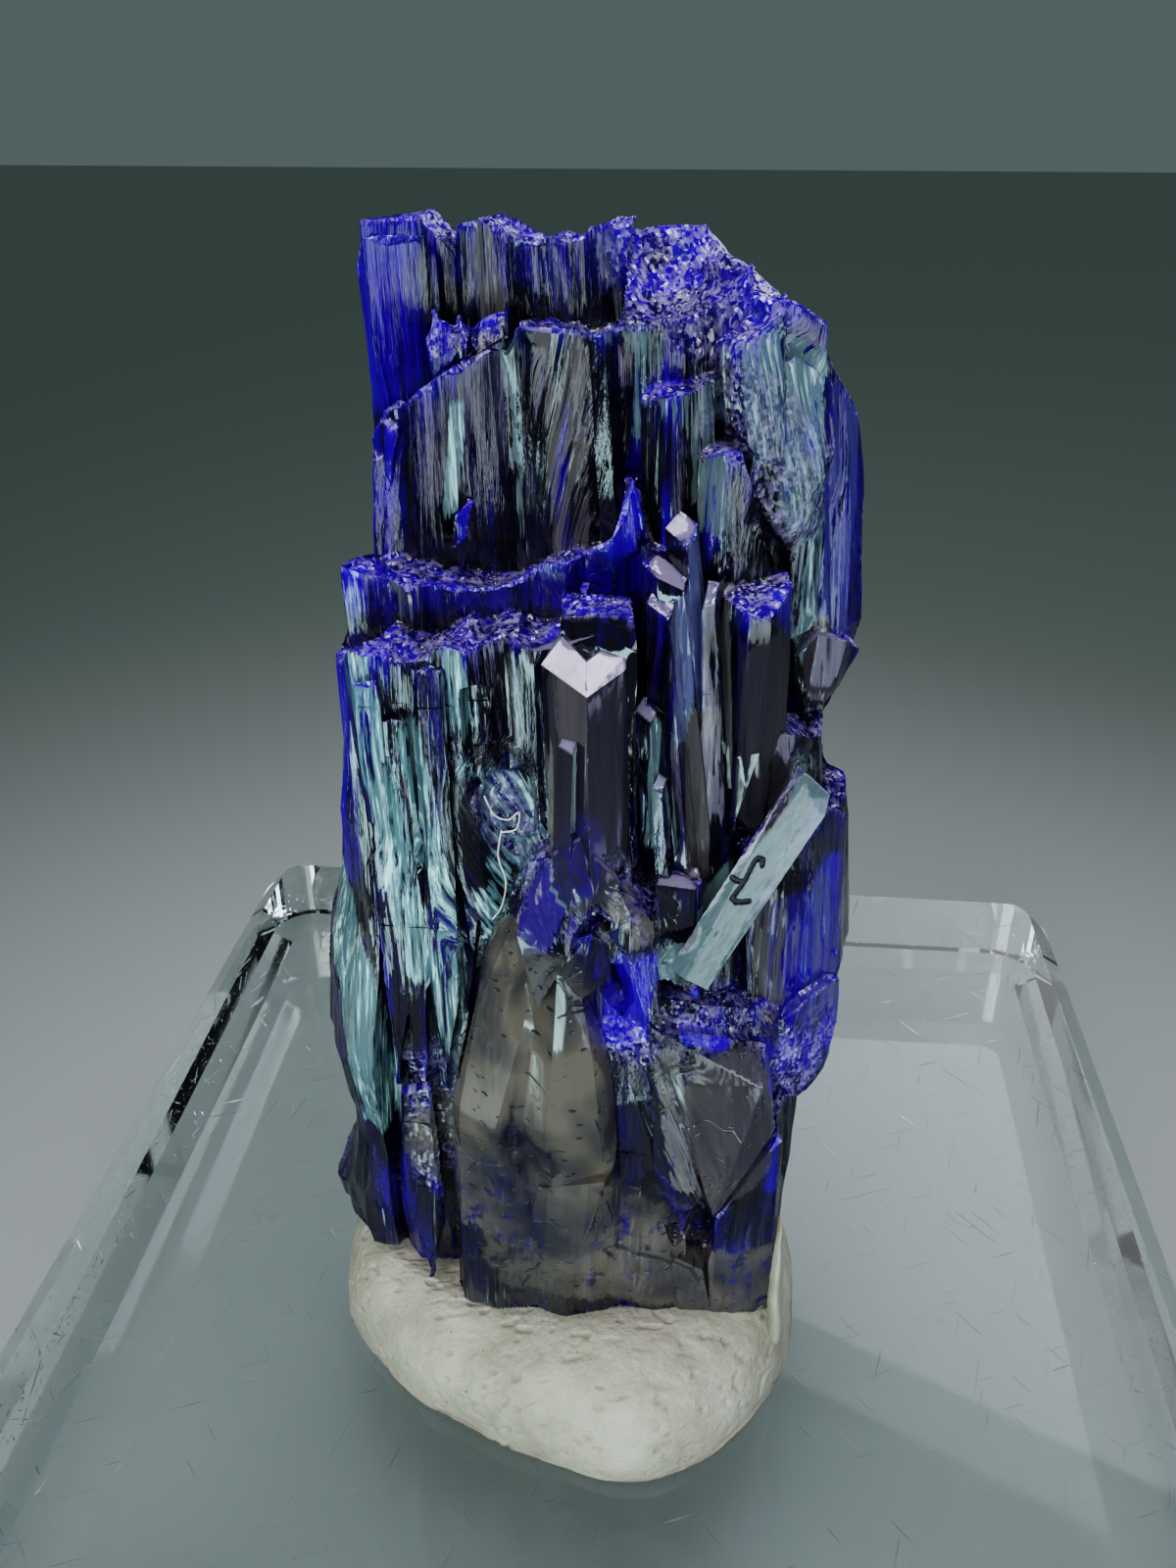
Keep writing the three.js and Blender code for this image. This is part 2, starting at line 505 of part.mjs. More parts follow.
// Slender prisms with small bright end faces
const prisms = [
  // The long middle prism and the three that stand against it
  { outline: [[1.5, -2.4], [1.8, -2.0], [2.15, -2.2], [2.1, -2.5], [1.9, -2.8]], end: [21.65, -0.1, 0.6],
    foot: 11.5, lean: [1.0, -0.6], spread: 2.0 },
  { outline: [[1.05, -2.7], [1.3, -2.4], [1.95, -2.7], [1.85, -3.1], [1.3, -3.0]], end: [20.95, -0.35, 0.5],
    foot: 11.6, lean: [1.0, -0.5], spread: 1.6 },
  { outline: [[1.1, -3.1], [1.3, -2.7], [1.75, -3.0], [1.55, -3.45]], end: [20.45, -0.1, 0.6],
    foot: 11.9, lean: [0.7, -0.5], spread: 2.0 },
  { outline: [[2.2, -2.9], [2.35, -2.4], [2.6, -2.5], [2.5, -2.85]], end: [20.45, 0.3, 0.8],
    foot: 11.7, lean: [0.6, -0.7], spread: 2.4 },
  // Short ones in the recess
  { outline: [[0.95, -3.4], [1.15, -3.0], [1.4, -3.3], [1.25, -3.65]], end: [18.3, -0.1, 0.5],
    foot: 12.8, lean: [0.3, -0.1], spread: 1.2 },
  { outline: [[0.65, -3.6], [0.8, -3.2], [1.0, -3.3], [0.95, -3.65]], end: [17.5, 0, 0.6],
    foot: 12.6, lean: [0.05, -0.1], spread: 1.4 },
  { outline: [[1.3, -3.75], [1.55, -3.3], [1.7, -3.4], [1.5, -3.85]], end: [16.9, 0.2, 0.8],
    foot: 12.4, lean: [0.4, -0.3], spread: 2.2 },
  // Little cube at the bottom of the recess
  { outline: [[1.4, -4.3], [1.5, -3.8], [2.3, -3.8], [2.4, -4.2], [2.2, -4.45]], end: [14.85, 0, 0.2],
    foot: 12.8, lean: [0, 0], spread: 1 },
  // Thin prism against the foot of the forked crystal
  { outline: [[-0.55, -4.5], [-0.35, -4.2], [-0.15, -4.4], [-0.25, -4.75]], end: [18.2, 0.4, 0.8],
    foot: 14.6, lean: [-0.15, -0.1], spread: 1.5 },
  // Tiny chip on the wall behind
  { outline: [[-0.25, -2.5], [-0.1, -2.1], [0.1, -2.2], [0.0, -2.5]], end: [20.4, 0.3, 0.7],
    foot: 19.0, lean: [0, 0.3], spread: 1.4 },
];

// Flat strips that stand a little proud of the large lower row, drawn left edge, ridge, right edge,
// each from top to bottom
const wallStrips = [
  [[-4.5, -3.65, 19.0], [-4.0, -3.7, 19.1], [-4.4, -3.75, 16.1], [-3.95, -3.85, 15.4], [-4.4, -4.0, 11.9],
    [-3.8, -4.05, 11.9], [-4.3, -3.9, 9.0], [-4.2, -3.2, 18.6], [-4.2, -3.2, 9.0]],
  [[-4.0, -3.7, 18.2], [-3.5, -3.8, 18.3], [-3.9, -3.95, 14.0], [-3.3, -4.0, 13.6], [-3.9, -4.1, 10.2],
    [-3.5, -4.15, 10.0], [-3.8, -4.0, 8.0], [-3.7, -3.2, 18.0], [-3.7, -3.2, 8.0]],
  [[-3.3, -3.7, 19.3], [-2.7, -3.7, 19.3], [-3.4, -3.95, 15.6], [-2.8, -3.95, 15.6], [-3.4, -4.15, 11.9],
    [-2.7, -4.2, 11.9], [-3.2, -4.15, 9.1], [-3.0, -3.2, 19.2], [-3.1, -3.2, 8.6]],
  [[-4.3, -3.95, 9.0], [-3.5, -4.15, 9.4], [-4.4, -3.95, 5.6], [-3.4, -4.2, 5.2], [-3.9, -4.05, 2.8],
    [-3.8, -3.2, 8.6], [-3.8, -3.2, 2.8]],
];

// The forked crystal, whose end is a V of two bright faces, with a step behind it
const forkedCrystal = [
  [[-0.85, -4.1, 19.6], [-0.45, -3.6, 19.95], [0.0, -4.0, 19.6], [0.0, -4.6, 19.15], [-0.8, -4.15, 15.0],
    [0.1, -4.8, 14.6], [0.2, -3.2, 14.6], [-0.8, -3.2, 15.0], [-0.5, -3.2, 19.9], [0.0, -3.2, 19.4]],
  [[0.0, -4.0, 19.6], [0.4, -3.7, 19.8], [0.75, -3.85, 19.7], [0.75, -4.1, 19.5], [0.0, -4.6, 19.15],
    [0.1, -4.8, 14.0], [1.0, -4.2, 14.2], [0.9, -3.2, 14.2], [0.0, -3.2, 14.6], [0.7, -3.2, 19.6],
    [0.0, -3.2, 19.4]],
  [[-0.5, -3.5, 20.3], [0.3, -3.5, 20.45], [0.9, -3.7, 20.4], [0.95, -4.0, 19.8], [0.9, -2.6, 20.4],
    [-0.5, -2.6, 20.5], [-0.4, -3.5, 15.0], [1.05, -4.0, 15.0], [0.9, -2.6, 15.0]],
];

// The long blade that lies slanting across the right side
const slantingBlade = [
  [[4.3, -3.25, 17.0], [4.05, -3.35, 16.6], [5.0, -3.2, 16.3], [4.9, -3.4, 15.9], [4.6, -3.41, 16.3],
    [4.7, -2.7, 16.2], [1.7, -4.8, 13.1], [2.0, -4.91, 12.9], [2.5, -4.9, 12.6], [2.0, -4.2, 13.0],
    [2.4, -4.2, 12.6]],
];

// Big blades that fan out of the lower front, drawn as ridges and grooves from top to bottom
const fanRidges = [
  [[-1.2, -3.9, 15.3], [-1.9, -4.2, 13.6], [-2.5, -4.2, 12.0], [-3.0, -4.5, 9.3], [-3.1, -4.4, 7.2],
    [-3.2, -4.2, 4.6], [-3.3, -3.9, DEEP]],
  [[-1.1, -4.3, 15.4], [-1.7, -4.6, 13.6], [-2.3, -4.6, 12.0], [-2.8, -4.95, 9.3], [-2.9, -4.9, 7.2],
    [-3.0, -4.7, 4.6], [-3.1, -4.4, DEEP]],
  [[-1.0, -4.4, 15.5], [-1.35, -4.75, 13.8], [-1.3, -5.25, 12.0], [-2.0, -5.5, 9.2], [-2.0, -5.3, 7.2],
    [-2.1, -5.0, 4.6], [-2.2, -4.7, DEEP]],
  [[-0.8, -4.5, 15.6], [-1.1, -4.9, 13.4], [-1.1, -5.2, 11.8], [-1.4, -5.35, 9.2], [-1.3, -5.3, 7.2],
    [-1.3, -5.0, 4.6], [-1.3, -4.7, DEEP]],
  [[-0.5, -4.6, 15.7], [-0.6, -5.2, 13.4], [-0.7, -5.6, 11.6], [-0.9, -5.7, 9.2], [-0.7, -5.5, 7.2],
    [-0.6, -5.1, 4.6], [-0.6, -4.8, DEEP]],
  [[-0.1, -4.5, 15.8], [-0.2, -5.0, 13.2], [0.1, -5.4, 11.4], [0.3, -5.5, 9.2], [0.4, -5.3, 7.2],
    [0.1, -5.0, 4.6], [0.2, -4.7, DEEP]],
  [[0.3, -4.3, 15.2], [0.3, -4.5, 13.2], [0.4, -4.6, 11.4], [0.7, -5.0, 9.4], [0.8, -5.0, 7.2],
    [0.8, -4.8, 4.6], [0.8, -4.6, DEEP]],
  [[0.8, -4.2, 14.8], [0.8, -4.4, 13.2], [0.9, -4.4, 11.4], [1.1, -5.0, 9.6], [1.3, -5.0, 7.2],
    [1.3, -4.8, 4.6], [1.3, -4.6, DEEP]],
  [[1.4, -4.0, 14.2], [1.4, -4.2, 13.2], [1.3, -4.6, 11.4], [1.7, -5.0, 9.6], [2.0, -5.0, 7.2],
    [1.9, -4.8, 4.6], [1.9, -4.6, DEEP]],
  [[1.5, -3.6, 13.6], [1.6, -3.8, 12.7], [1.6, -4.6, 11.3], [2.2, -4.8, 9.4], [2.4, -4.8, 7.2],
    [2.4, -4.6, 4.6], [2.5, -4.5, DEEP]],
];

// Rough head of the fan, with the toothed ridge that falls away to its right
const fanHead = [
  [[-1.2, -4.5, 15.5], [-0.7, -4.7, 15.8], [-0.1, -4.8, 16.2], [0.2, -5.1, 14.8], [-0.5, -5.5, 13.6],
    [-1.0, -5.5, 12.6], [-1.4, -5.2, 14.2], [-0.2, -3.6, 16.0], [-1.0, -3.6, 15.2], [-0.9, -4.2, 12.4],
    [0.1, -3.8, 14.6]],
  [[-0.1, -4.6, 16.1], [0.3, -4.8, 15.6], [0.7, -4.7, 15.1], [0.6, -4.9, 14.2], [0.1, -5.0, 14.6],
    [0.0, -3.6, 15.9], [0.7, -3.6, 14.9]],
  [[0.6, -4.7, 15.1], [1.1, -4.6, 14.6], [0.9, -5.0, 14.4], [1.4, -4.6, 14.3], [1.4, -4.7, 13.4],
    [0.9, -5.0, 13.2], [0.4, -4.9, 14.0], [0.7, -3.6, 14.9], [1.4, -3.6, 14.2], [1.2, -3.8, 13.2]],
  [[-0.5, -5.2, 14.0], [0.1, -5.3, 14.3], [0.5, -5.1, 13.9], [0.5, -5.0, 12.9], [-0.1, -5.2, 12.6],
    [-0.6, -5.3, 13.3], [0.0, -4.0, 13.8], [0.0, -4.0, 12.8]],
];

// Lower right front: the broad dark facet, the streaked blades beside it and the end block
const lowerFrontBlocks = [
  [[1.3, -4.7, 11.5], [2.0, -4.6, 11.0], [4.0, -4.0, 10.4], [4.3, -4.4, 8.2], [2.9, -5.3, 6.3],
    [2.2, -4.9, 10.0], [3.9, -4.6, 9.6], [1.6, -3.0, 11.0], [4.2, -3.0, 10.0], [3.8, -3.0, 5.6],
    [2.0, -3.6, 6.0]],
  [[1.3, -4.9, 11.2], [1.7, -5.0, 10.4], [2.6, -5.4, 7.2], [2.2, -5.2, 5.6], [1.5, -5.1, 7.6],
    [1.2, -4.6, 10.0], [1.8, -3.6, 10.4], [2.6, -3.8, 5.4]],
  [[4.5, -4.1, 7.7], [4.6, -3.8, 6.0], [4.4, -4.3, 4.6], [4.7, -4.4, 2.4], [3.0, -4.9, 5.8],
    [2.9, -4.7, 4.2], [3.1, -4.7, 1.6], [4.5, -4.6, 1.2], [3.1, -2.0, 6.0], [4.6, -2.0, 7.2],
    [4.8, -2.2, 1.0], [3.0, -2.0, 1.0]],
  // Pale facet at the foot
  [[2.0, -4.8, 4.5], [2.8, -4.8, 4.0], [3.1, -4.7, 2.2], [2.3, -4.7, 2.0], [2.0, -3.4, 4.6],
    [3.1, -3.4, 4.2], [3.0, -3.4, 1.4], [2.0, -3.4, 1.4]],
  // Bright blade with its point down
  [[-1.1, -5.5, 7.5], [0.4, -5.6, 7.8], [0.4, -5.5, 7.2], [-0.3, -5.4, 4.9], [-0.6, -5.3, 4.6],
    [-1.1, -5.35, 5.2], [-1.3, -5.4, 6.5], [-0.9, -4.0, 7.4], [0.4, -4.0, 7.4], [-0.5, -4.0, 4.6]],
];

// Knobs and chips on the ledges
const knobs = [
  [[-4.1, -0.3, 23.3], [-4.4, -0.1, 22.8], [-4.3, -0.2, 22.3], [-3.9, -0.5, 22.5], [-3.7, -0.5, 23.1],
    [-4.0, -0.3, 21.6], [-4.2, 0.6, 22.8], [-3.8, 0.6, 23.4], [-3.8, 0.6, 21.6]],
  [[-3.2, 0.1, 24.7], [-3.0, 0.1, 25.3], [-2.6, 0.2, 25.0], [-2.5, -0.1, 24.6], [-3.1, -0.2, 24.3],
    [-2.9, 0.9, 24.8], [-2.6, 0.6, 23.2], [-3.2, 0.6, 23.2], [-2.9, -0.2, 23.2]],
  [[-2.7, 0.1, 24.8], [-2.5, 0.2, 25.2], [-2.2, 0.2, 24.9], [-2.3, -0.2, 24.6], [-2.8, 0.0, 24.3],
    [-2.5, 0.8, 24.6], [-2.2, 0.5, 23.4], [-2.6, 0.0, 23.4]],
  [[-2.3, 0.2, 24.8], [-2.1, 0.2, 25.1], [-1.8, 0.1, 24.8], [-1.5, 0.1, 25.3], [-1.5, -0.1, 24.8],
    [-2.2, -0.1, 24.4], [-1.8, 0.9, 24.9], [-1.6, 0.6, 23.6], [-2.1, 0.0, 23.6]],
  [[-2.7, -0.7, 21.4], [-2.4, -0.8, 21.8], [-2.2, -0.7, 21.7], [-2.4, -0.9, 21.0], [-2.8, -0.6, 20.6],
    [-2.3, -0.2, 21.6], [-2.7, -0.2, 20.8]],
  [[0.6, -1.6, 21.6], [0.9, -1.7, 22.4], [1.1, -1.5, 22.0], [1.1, -1.8, 21.0], [0.6, -1.8, 20.8],
    [0.8, -0.6, 22.2], [0.9, -0.6, 20.8]],
];

// Material broken out of the cluster
const cuts = [
  // Dark pit at the foot of the fan
  [[1.6, -5.4, 5.9], [2.8, -5.4, 5.8], [2.7, -5.4, 4.6], [2.0, -5.4, 4.3], [2.2, -4.0, 5.2]],
  // Deep blue hollow under the head of the fan
  [[0.1, -5.2, 13.3], [1.1, -5.2, 13.4], [1.3, -5.2, 11.9], [0.85, -5.2, 10.9], [0.2, -5.2, 12.0],
    [0.5, -3.85, 12.5], [0.75, -3.9, 11.9]],
  // Shell-shaped hollow in the large lower row, and the dark trough above it
  [[-2.5, -4.3, 16.6], [-1.7, -4.4, 17.8], [-0.9, -4.4, 17.3], [-0.8, -4.4, 15.8], [-1.4, -4.4, 14.4],
    [-2.5, -4.4, 14.0], [-2.0, -3.35, 16.7], [-1.2, -3.3, 17.1], [-1.1, -3.4, 15.9], [-1.9, -3.6, 15.0]],
  [[-2.6, -4.2, 19.0], [-1.6, -4.2, 19.3], [-1.8, -4.2, 17.0], [-2.6, -4.2, 15.8], [-2.3, -3.4, 18.8],
    [-1.9, -3.4, 18.8], [-2.2, -3.4, 16.6]],
  // Dark gap between the tall strips and the fan
  [[-2.3, -4.4, 14.4], [-2.0, -4.4, 14.0], [-2.7, -4.6, 9.6], [-2.9, -4.6, 10.2], [-2.3, -3.6, 13.4],
    [-2.7, -3.7, 10.4]],
];

function fanSolid() {
  const inner = fanRidges.map((ridge) => ridge.map(([x, , z]) => [x, -2.6, z]));
  return thickSheet(fanRidges, inner);
}

// Rough underside: a thick sheet whose upper face is the cut under the foot
function footCut() {
  const random = randomSource(7);
  const acrossSteps = [-8, -6, -4.6, -3, -1.4, 0, 1.4, 3, 4.6, 6, 8];
  const depthSteps = [5, 3, 1, -1, -2.6, -4, -6];
  const upper = acrossSteps.map((x) => depthSteps.map((y) => [
    x, y, FOOT_HEIGHT - FOOT_SLOPE * x + FOOT_ROUGHNESS * mix(-1, 1, random()),
  ]));
  const lower = upper.map((column) => column.map(([x, y]) => [x, y, -2]));
  return thickSheet(upper, lower);
}

function clusterSolid() {
  const terraces = [...frontTerraces, ...leftTerraces, ...rightTerraces, ...backTerraces].map(terrace);
  const hulls = [...upperRightBlocks, ...lowerRightBlocks, ...forkedCrystal, ...slantingBlade, ...wallStrips,
    ...lowerFrontBlocks, ...fanHead, ...knobs].map(crystal);
  const slender = prisms.map(prism);
  const grown = [...terraces, ...slender, fanSolid(), brokenTop()]
    .reduce((sum, part) => sum.add(part), coreSolid());
  const broken = cuts.map(crystal).reduce((rest, cut) => rest.subtract(cut), grown);
  return hulls.reduce((sum, part) => sum.add(part), broken).subtract(footCut()).simplify(SMALLEST_DETAIL);
}

// Lump of tack. Round its middle go two outlines in polar steps, each as [degrees, radius]: where the
// lump meets the block, and the shoulder where its top begins to fall away.
const TACK_CENTRE = [-0.4, -1.6];
const TACK_OUTLINE = [[0, 6.1], [30, 5.6], [60, 5.3], [90, 5.6], [120, 5.8], [150, 6.2], [175, 6.3], [190, 6.1],
  [214, 5.6], [241, 5.3], [265, 5.5], [285, 6.3], [300, 6.4], [325, 6.25], [337, 6.2], [350, 6.0], [360, 6.1]];
const TACK_SHOULDER = [[0, 5.4], [30, 5.0], [60, 4.8], [90, 4.8], [120, 5.0], [150, 5.4], [180, 5.6], [200, 5.4],
  [214, 4.4], [241, 3.0], [270, 2.7], [300, 3.2], [325, 4.6], [337, 5.1], [360, 5.4]];
const TACK_STEPS = 48;
const TACK_RINGS = 7;
const TACK_ROUNDNESS = 1.9;

// Radius of an outline at an angle, eased between its corner points
function radiusAt(outline, degrees) {
  const index = outline.findIndex(([angle]) => angle > degrees);
  const [startAngle, startRadius] = outline[index - 1];
  const [endAngle, endRadius] = outline[index];
  const t = (degrees - startAngle) / (endAngle - startAngle);
  return mix(startRadius, endRadius, 0.5 - 0.5 * Math.cos(Math.PI * t));
}

function tackSolid(cluster) {
  const points = [[...TACK_CENTRE, TACK_LIFT]];
  for (let ring = 0; ring < TACK_RINGS; ring += 1) {
    const quarter = (ring / (TACK_RINGS - 1)) * (Math.PI / 2);
    const height = TACK_HEIGHT * Math.sin(quarter) ** (2 / TACK_ROUNDNESS);
    const reach = Math.cos(quarter) ** (2 / TACK_ROUNDNESS);
    for (let step = 0; step < TACK_STEPS; step += 1) {
      const degrees = (360 * step) / TACK_STEPS;
      const radius = mix(radiusAt(TACK_SHOULDER, degrees), radiusAt(TACK_OUTLINE, degrees), reach);
      const angle = THREE.MathUtils.degToRad(degrees);
      points.push([
        TACK_CENTRE[0] + radius * Math.cos(angle),
        TACK_CENTRE[1] + radius * Math.sin(angle),
        TACK_LIFT + height,
      ]);
    }
  }
  const crown = points.length;
  points.push([...TACK_CENTRE, TACK_LIFT + TACK_HEIGHT]);
  const at = (ring, step) => 1 + ring * TACK_STEPS + (step % TACK_STEPS);
  const triangles = [];
  for (let step = 0; step < TACK_STEPS; step += 1) {
    triangles.push([0, at(0, step + 1), at(0, step)]);
    for (let ring = 0; ring + 1 < TACK_RINGS; ring += 1) {
      const [a, b] = [at(ring, step), at(ring, step + 1)];
      const [c, d] = [at(ring + 1, step + 1), at(ring + 1, step)];
      triangles.push([a, b, c], [a, c, d]);
    }
    triangles.push([at(TACK_RINGS - 1, step), at(TACK_RINGS - 1, step + 1), crown]);
  }
  return solidFromTriangles(points, triangles).subtract(socketFor(cluster)).simplify(SMALLEST_DETAIL);
}

// Room for the foot, grown by the gap all round and open at the top
function socketFor(cluster) {
  const { vertProperties } = cluster.getMesh();
  const foot = [];
  for (let index = 0; index < vertProperties.length; index += 3) {
    if (vertProperties[index + 2] < SOCKET_TOP) {
      foot.push([vertProperties[index], vertProperties[index + 1], vertProperties[index + 2]]);
    }
  }
  const corners = [];
  const sides = 8;
  foot.forEach(([x, y, z]) => {
    for (let side = 0; side < sides; side += 1) {
      const angle = (2 * Math.PI * side) / sides;
      const around = [x + TACK_GAP * Math.cos(angle), y + TACK_GAP * Math.sin(angle)];
      corners.push([...around, z - TACK_GAP], [...around, 2 * SOCKET_TOP]);
    }
  });
  return crystal(corners);
}

function blockGeometry() {
  const half = BLOCK_SIDE / 2 - BLOCK_CHAMFER;
  const radius = BLOCK_CORNER_RADIUS - BLOCK_CHAMFER;
  const outline = new THREE.Shape();
  outline.moveTo(half - radius, -half);
  [[half, -half, 0], [half, half, 1], [-half, half, 2], [-half, -half, 3]].forEach(([x, y, quarter]) => {
    const start = (quarter - 1) * (Math.PI / 2);
    outline.absarc(x - Math.sign(x) * radius, y - Math.sign(y) * radius, radius, start, start + Math.PI / 2);
  });
  outline.closePath();
  const geometry = new THREE.ExtrudeGeometry(outline, {
    depth: BLOCK_HEIGHT - 2 * BLOCK_CHAMFER,
    bevelEnabled: true,
    bevelSize: BLOCK_CHAMFER,
    bevelThickness: BLOCK_CHAMFER,
    bevelSegments: 1,
    curveSegments: 6,
  });
  geometry.translate(0, 0, BLOCK_CHAMFER);
  return geometry;
}

const azuriteMaterial = new THREE.MeshStandardMaterial({ color: 0x0a0a5c, roughness: 0.16, metalness: 0 });
const tackMaterial = new THREE.MeshStandardMaterial({ color: 0xe4e0d4, roughness: 0.62, metalness: 0 });
const acrylicMaterial = new THREE.MeshStandardMaterial({
  color: 0xeef3f3,
  roughness: 0.05,
  metalness: 0,
  transparent: true,
  opacity: 0.3,
});

const cluster = clusterSolid();

const crystalMesh = new THREE.Mesh(geometryFromSolid(cluster), azuriteMaterial);
crystalMesh.name = "azurite_crystal";

const tackMesh = new THREE.Mesh(geometryFromSolid(tackSolid(cluster)), tackMaterial);
tackMesh.name = "mineral_tack";

const blockMesh = new THREE.Mesh(blockGeometry(), acrylicMaterial);
blockMesh.name = "acrylic_base";

const standing = new THREE.Group();
standing.position.set(...CLUSTER_PLACE, BLOCK_HEIGHT);
standing.rotation.z = THREE.MathUtils.degToRad(CLUSTER_TURN_DEGREES);
standing.add(crystalMesh, tackMesh);

const specimen = new THREE.Group();
specimen.add(standing, blockMesh);

export default specimen;
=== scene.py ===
import math

import bmesh
import bpy
import numpy as np
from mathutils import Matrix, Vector


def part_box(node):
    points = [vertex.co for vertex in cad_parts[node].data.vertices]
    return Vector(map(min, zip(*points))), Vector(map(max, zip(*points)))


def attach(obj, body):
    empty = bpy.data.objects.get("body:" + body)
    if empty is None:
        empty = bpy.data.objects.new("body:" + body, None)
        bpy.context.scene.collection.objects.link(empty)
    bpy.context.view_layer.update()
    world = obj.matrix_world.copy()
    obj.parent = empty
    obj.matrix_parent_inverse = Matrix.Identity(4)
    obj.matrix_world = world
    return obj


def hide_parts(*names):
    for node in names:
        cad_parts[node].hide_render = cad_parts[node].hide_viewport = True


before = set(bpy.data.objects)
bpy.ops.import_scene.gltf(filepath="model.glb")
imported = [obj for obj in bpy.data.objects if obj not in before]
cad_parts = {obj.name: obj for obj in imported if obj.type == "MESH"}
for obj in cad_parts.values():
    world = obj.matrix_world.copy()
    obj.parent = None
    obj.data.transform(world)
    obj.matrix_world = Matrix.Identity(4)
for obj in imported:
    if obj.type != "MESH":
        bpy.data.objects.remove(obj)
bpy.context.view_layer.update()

# An azurite crystal cluster in white mineral tack on a clear acrylic display block.
# Shapes are worked out in millimetres and put into the meshes in metres.
MM = 0.001

# The cluster's own frame: x to the viewer's right, y away from the viewer, z up from the block's top
BLOCK_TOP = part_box("acrylic_base")[1][2] / MM
CLUSTER_PLACE = np.array([-0.7, -3.0, BLOCK_TOP])
CLUSTER_TURN = math.radians(5.7)

# Camera: 44 degrees across, looking down on the block from a hand's breadth away
CAMERA_PLACE = (1.9, -28.8, 36.7)
CAMERA_TURN = math.radians(5.69)
CAMERA_PITCH = math.radians(29.1)
SENSOR_WIDTH = 36.0
LENS = 29.25

# The floor lies just under the block and reaches this far each way
FLOOR_DROP = -0.02
FLOOR_REACH = 600


# Numbers and soft shapes

def linear(code):
    """An sRGB hex colour as linear red, green and blue."""
    parts = [int(code[i:i + 2], 16) / 255 for i in (1, 3, 5)]
    return [p / 12.92 if p <= 0.04045 else ((p + 0.055) / 1.055) ** 2.4 for p in parts]


def opaque(code):
    """An sRGB hex colour as linear red, green, blue and full opacity, as a colour input takes it."""
    return (*linear(code), 1)


def eased(values, low, high):
    """0 below low, 1 above high, and a smooth S between them."""
    t = np.clip((values - low) / (high - low), 0, 1)
    return t * t * (3 - 2 * t)


def scrambled(cell, seed):
    """A repeatable random number from 0 to 1 for each whole-number place: multiply, mix and fold."""
    c = cell.astype(np.int64)
    h = c[..., 0] * 374761393 + c[..., 1] * 668265263 + c[..., 2] * 2147483647 + seed * 1274126177
    h = (h ^ (h >> 13)) & 0x7FFFFFFF
    h = (h * 1103515245 + 12345) & 0x7FFFFFFFFFFF
    return ((h ^ (h >> 17)) & 0xFFFFFF) / 0x1000000


def corner_weights(t):
    """Each corner of a unit cell, and its weight at the places that are t of the way across the cell."""
    for corner in np.ndindex(2, 2, 2):
        yield np.array(corner), np.prod(np.where(corner, t, 1 - t), axis=1)


def soft_noise(points, seed):
    """Smooth noise from -1 to 1: random values at the corners of unit cells, eased between."""
    base = np.floor(points)
    t = eased(points - base, 0, 1)
    return 2 * sum(weight * scrambled(base + corner, seed) for corner, weight in corner_weights(t)) - 1


def layered_noise(points, seed, octaves=3):
    """Soft noise summed at doubling fineness and halving strength."""
    total = sum(soft_noise(points * 2 ** i, seed + i) / 2 ** i for i in range(octaves))
    return total / (2 - 2 ** (1 - octaves))


def wavering(points, seed):
    """A noisy direction at each point."""
    return np.stack([layered_noise(points, seed + i, 2) for i in range(3)], axis=1)


def cells_round(points, seed, numbers):
    """For each of the 27 unit cells in and round the one that a point is in: the way to the point from the
    cell's own random middle, and more random numbers of the cell."""
    base = np.floor(points)
    for step in np.ndindex(3, 3, 3):
        cell = base + np.array(step) - 1
        jitter = [scrambled(cell, seed + i) for i in range(3 + numbers)]
        yield (points - cell - np.stack(jitter[:3], axis=1)).T, jitter[3:]


def turned(x, y, angle):
    """Two coordinates turned by an angle, from y towards x."""
    c, s = np.cos(angle), np.sin(angle)
    return x * c + y * s, y * c - x * s


def roofs(points, slope, end_slope, seed):
    """The highest of many ridged roofs, one for each unit cell. A roof is highest along its ridge, which
    runs along z, and falls on both sides in a random level direction and more gently towards its ends.
    Where two roofs meet there is a sharp valley."""
    highest = np.full(len(points), -np.inf)
    for (x, y, z), (turn, top) in cells_round(points, seed, 2):
        across, along = turned(x, y, 2 * math.pi * turn)
        height = top - slope * np.abs(across) - 0.25 * slope * np.abs(along) - end_slope * np.abs(z)
        highest = np.maximum(highest, height)
    return highest


def chips(points, slope, seed):
    """The highest of many blunt pyramids, one for each unit cell, each turned its own way: a surface of
    small flat facets with sharp valleys, as on broken crystal."""
    highest = np.full(len(points), -np.inf)
    for (x, y, z), (turn, tilt, top) in cells_round(points, seed, 3):
        u, v = turned(x, y, 2 * math.pi * turn)
        v, w = turned(v, z, math.pi * tilt)
        highest = np.maximum(highest, top - slope * np.abs([u, v, w]).max(axis=0))
    return highest


def to_cluster(points):
    """Row frame to the cluster's own frame: move, then turn back."""
    x, y, z = (points - CLUSTER_PLACE).T
    return np.stack([*turned(x, y, CLUSTER_TURN), z], axis=1)


def from_cluster(points):
    """The cluster's own frame to the row frame: turn, then move."""
    x, y, z = points.T
    return np.stack([*turned(x, y, -CLUSTER_TURN), z], axis=1) + CLUSTER_PLACE


def in_box(points, node):
    """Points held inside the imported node's box."""
    low, high = np.array(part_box(node)) / MM
    return np.clip(points, low, high)


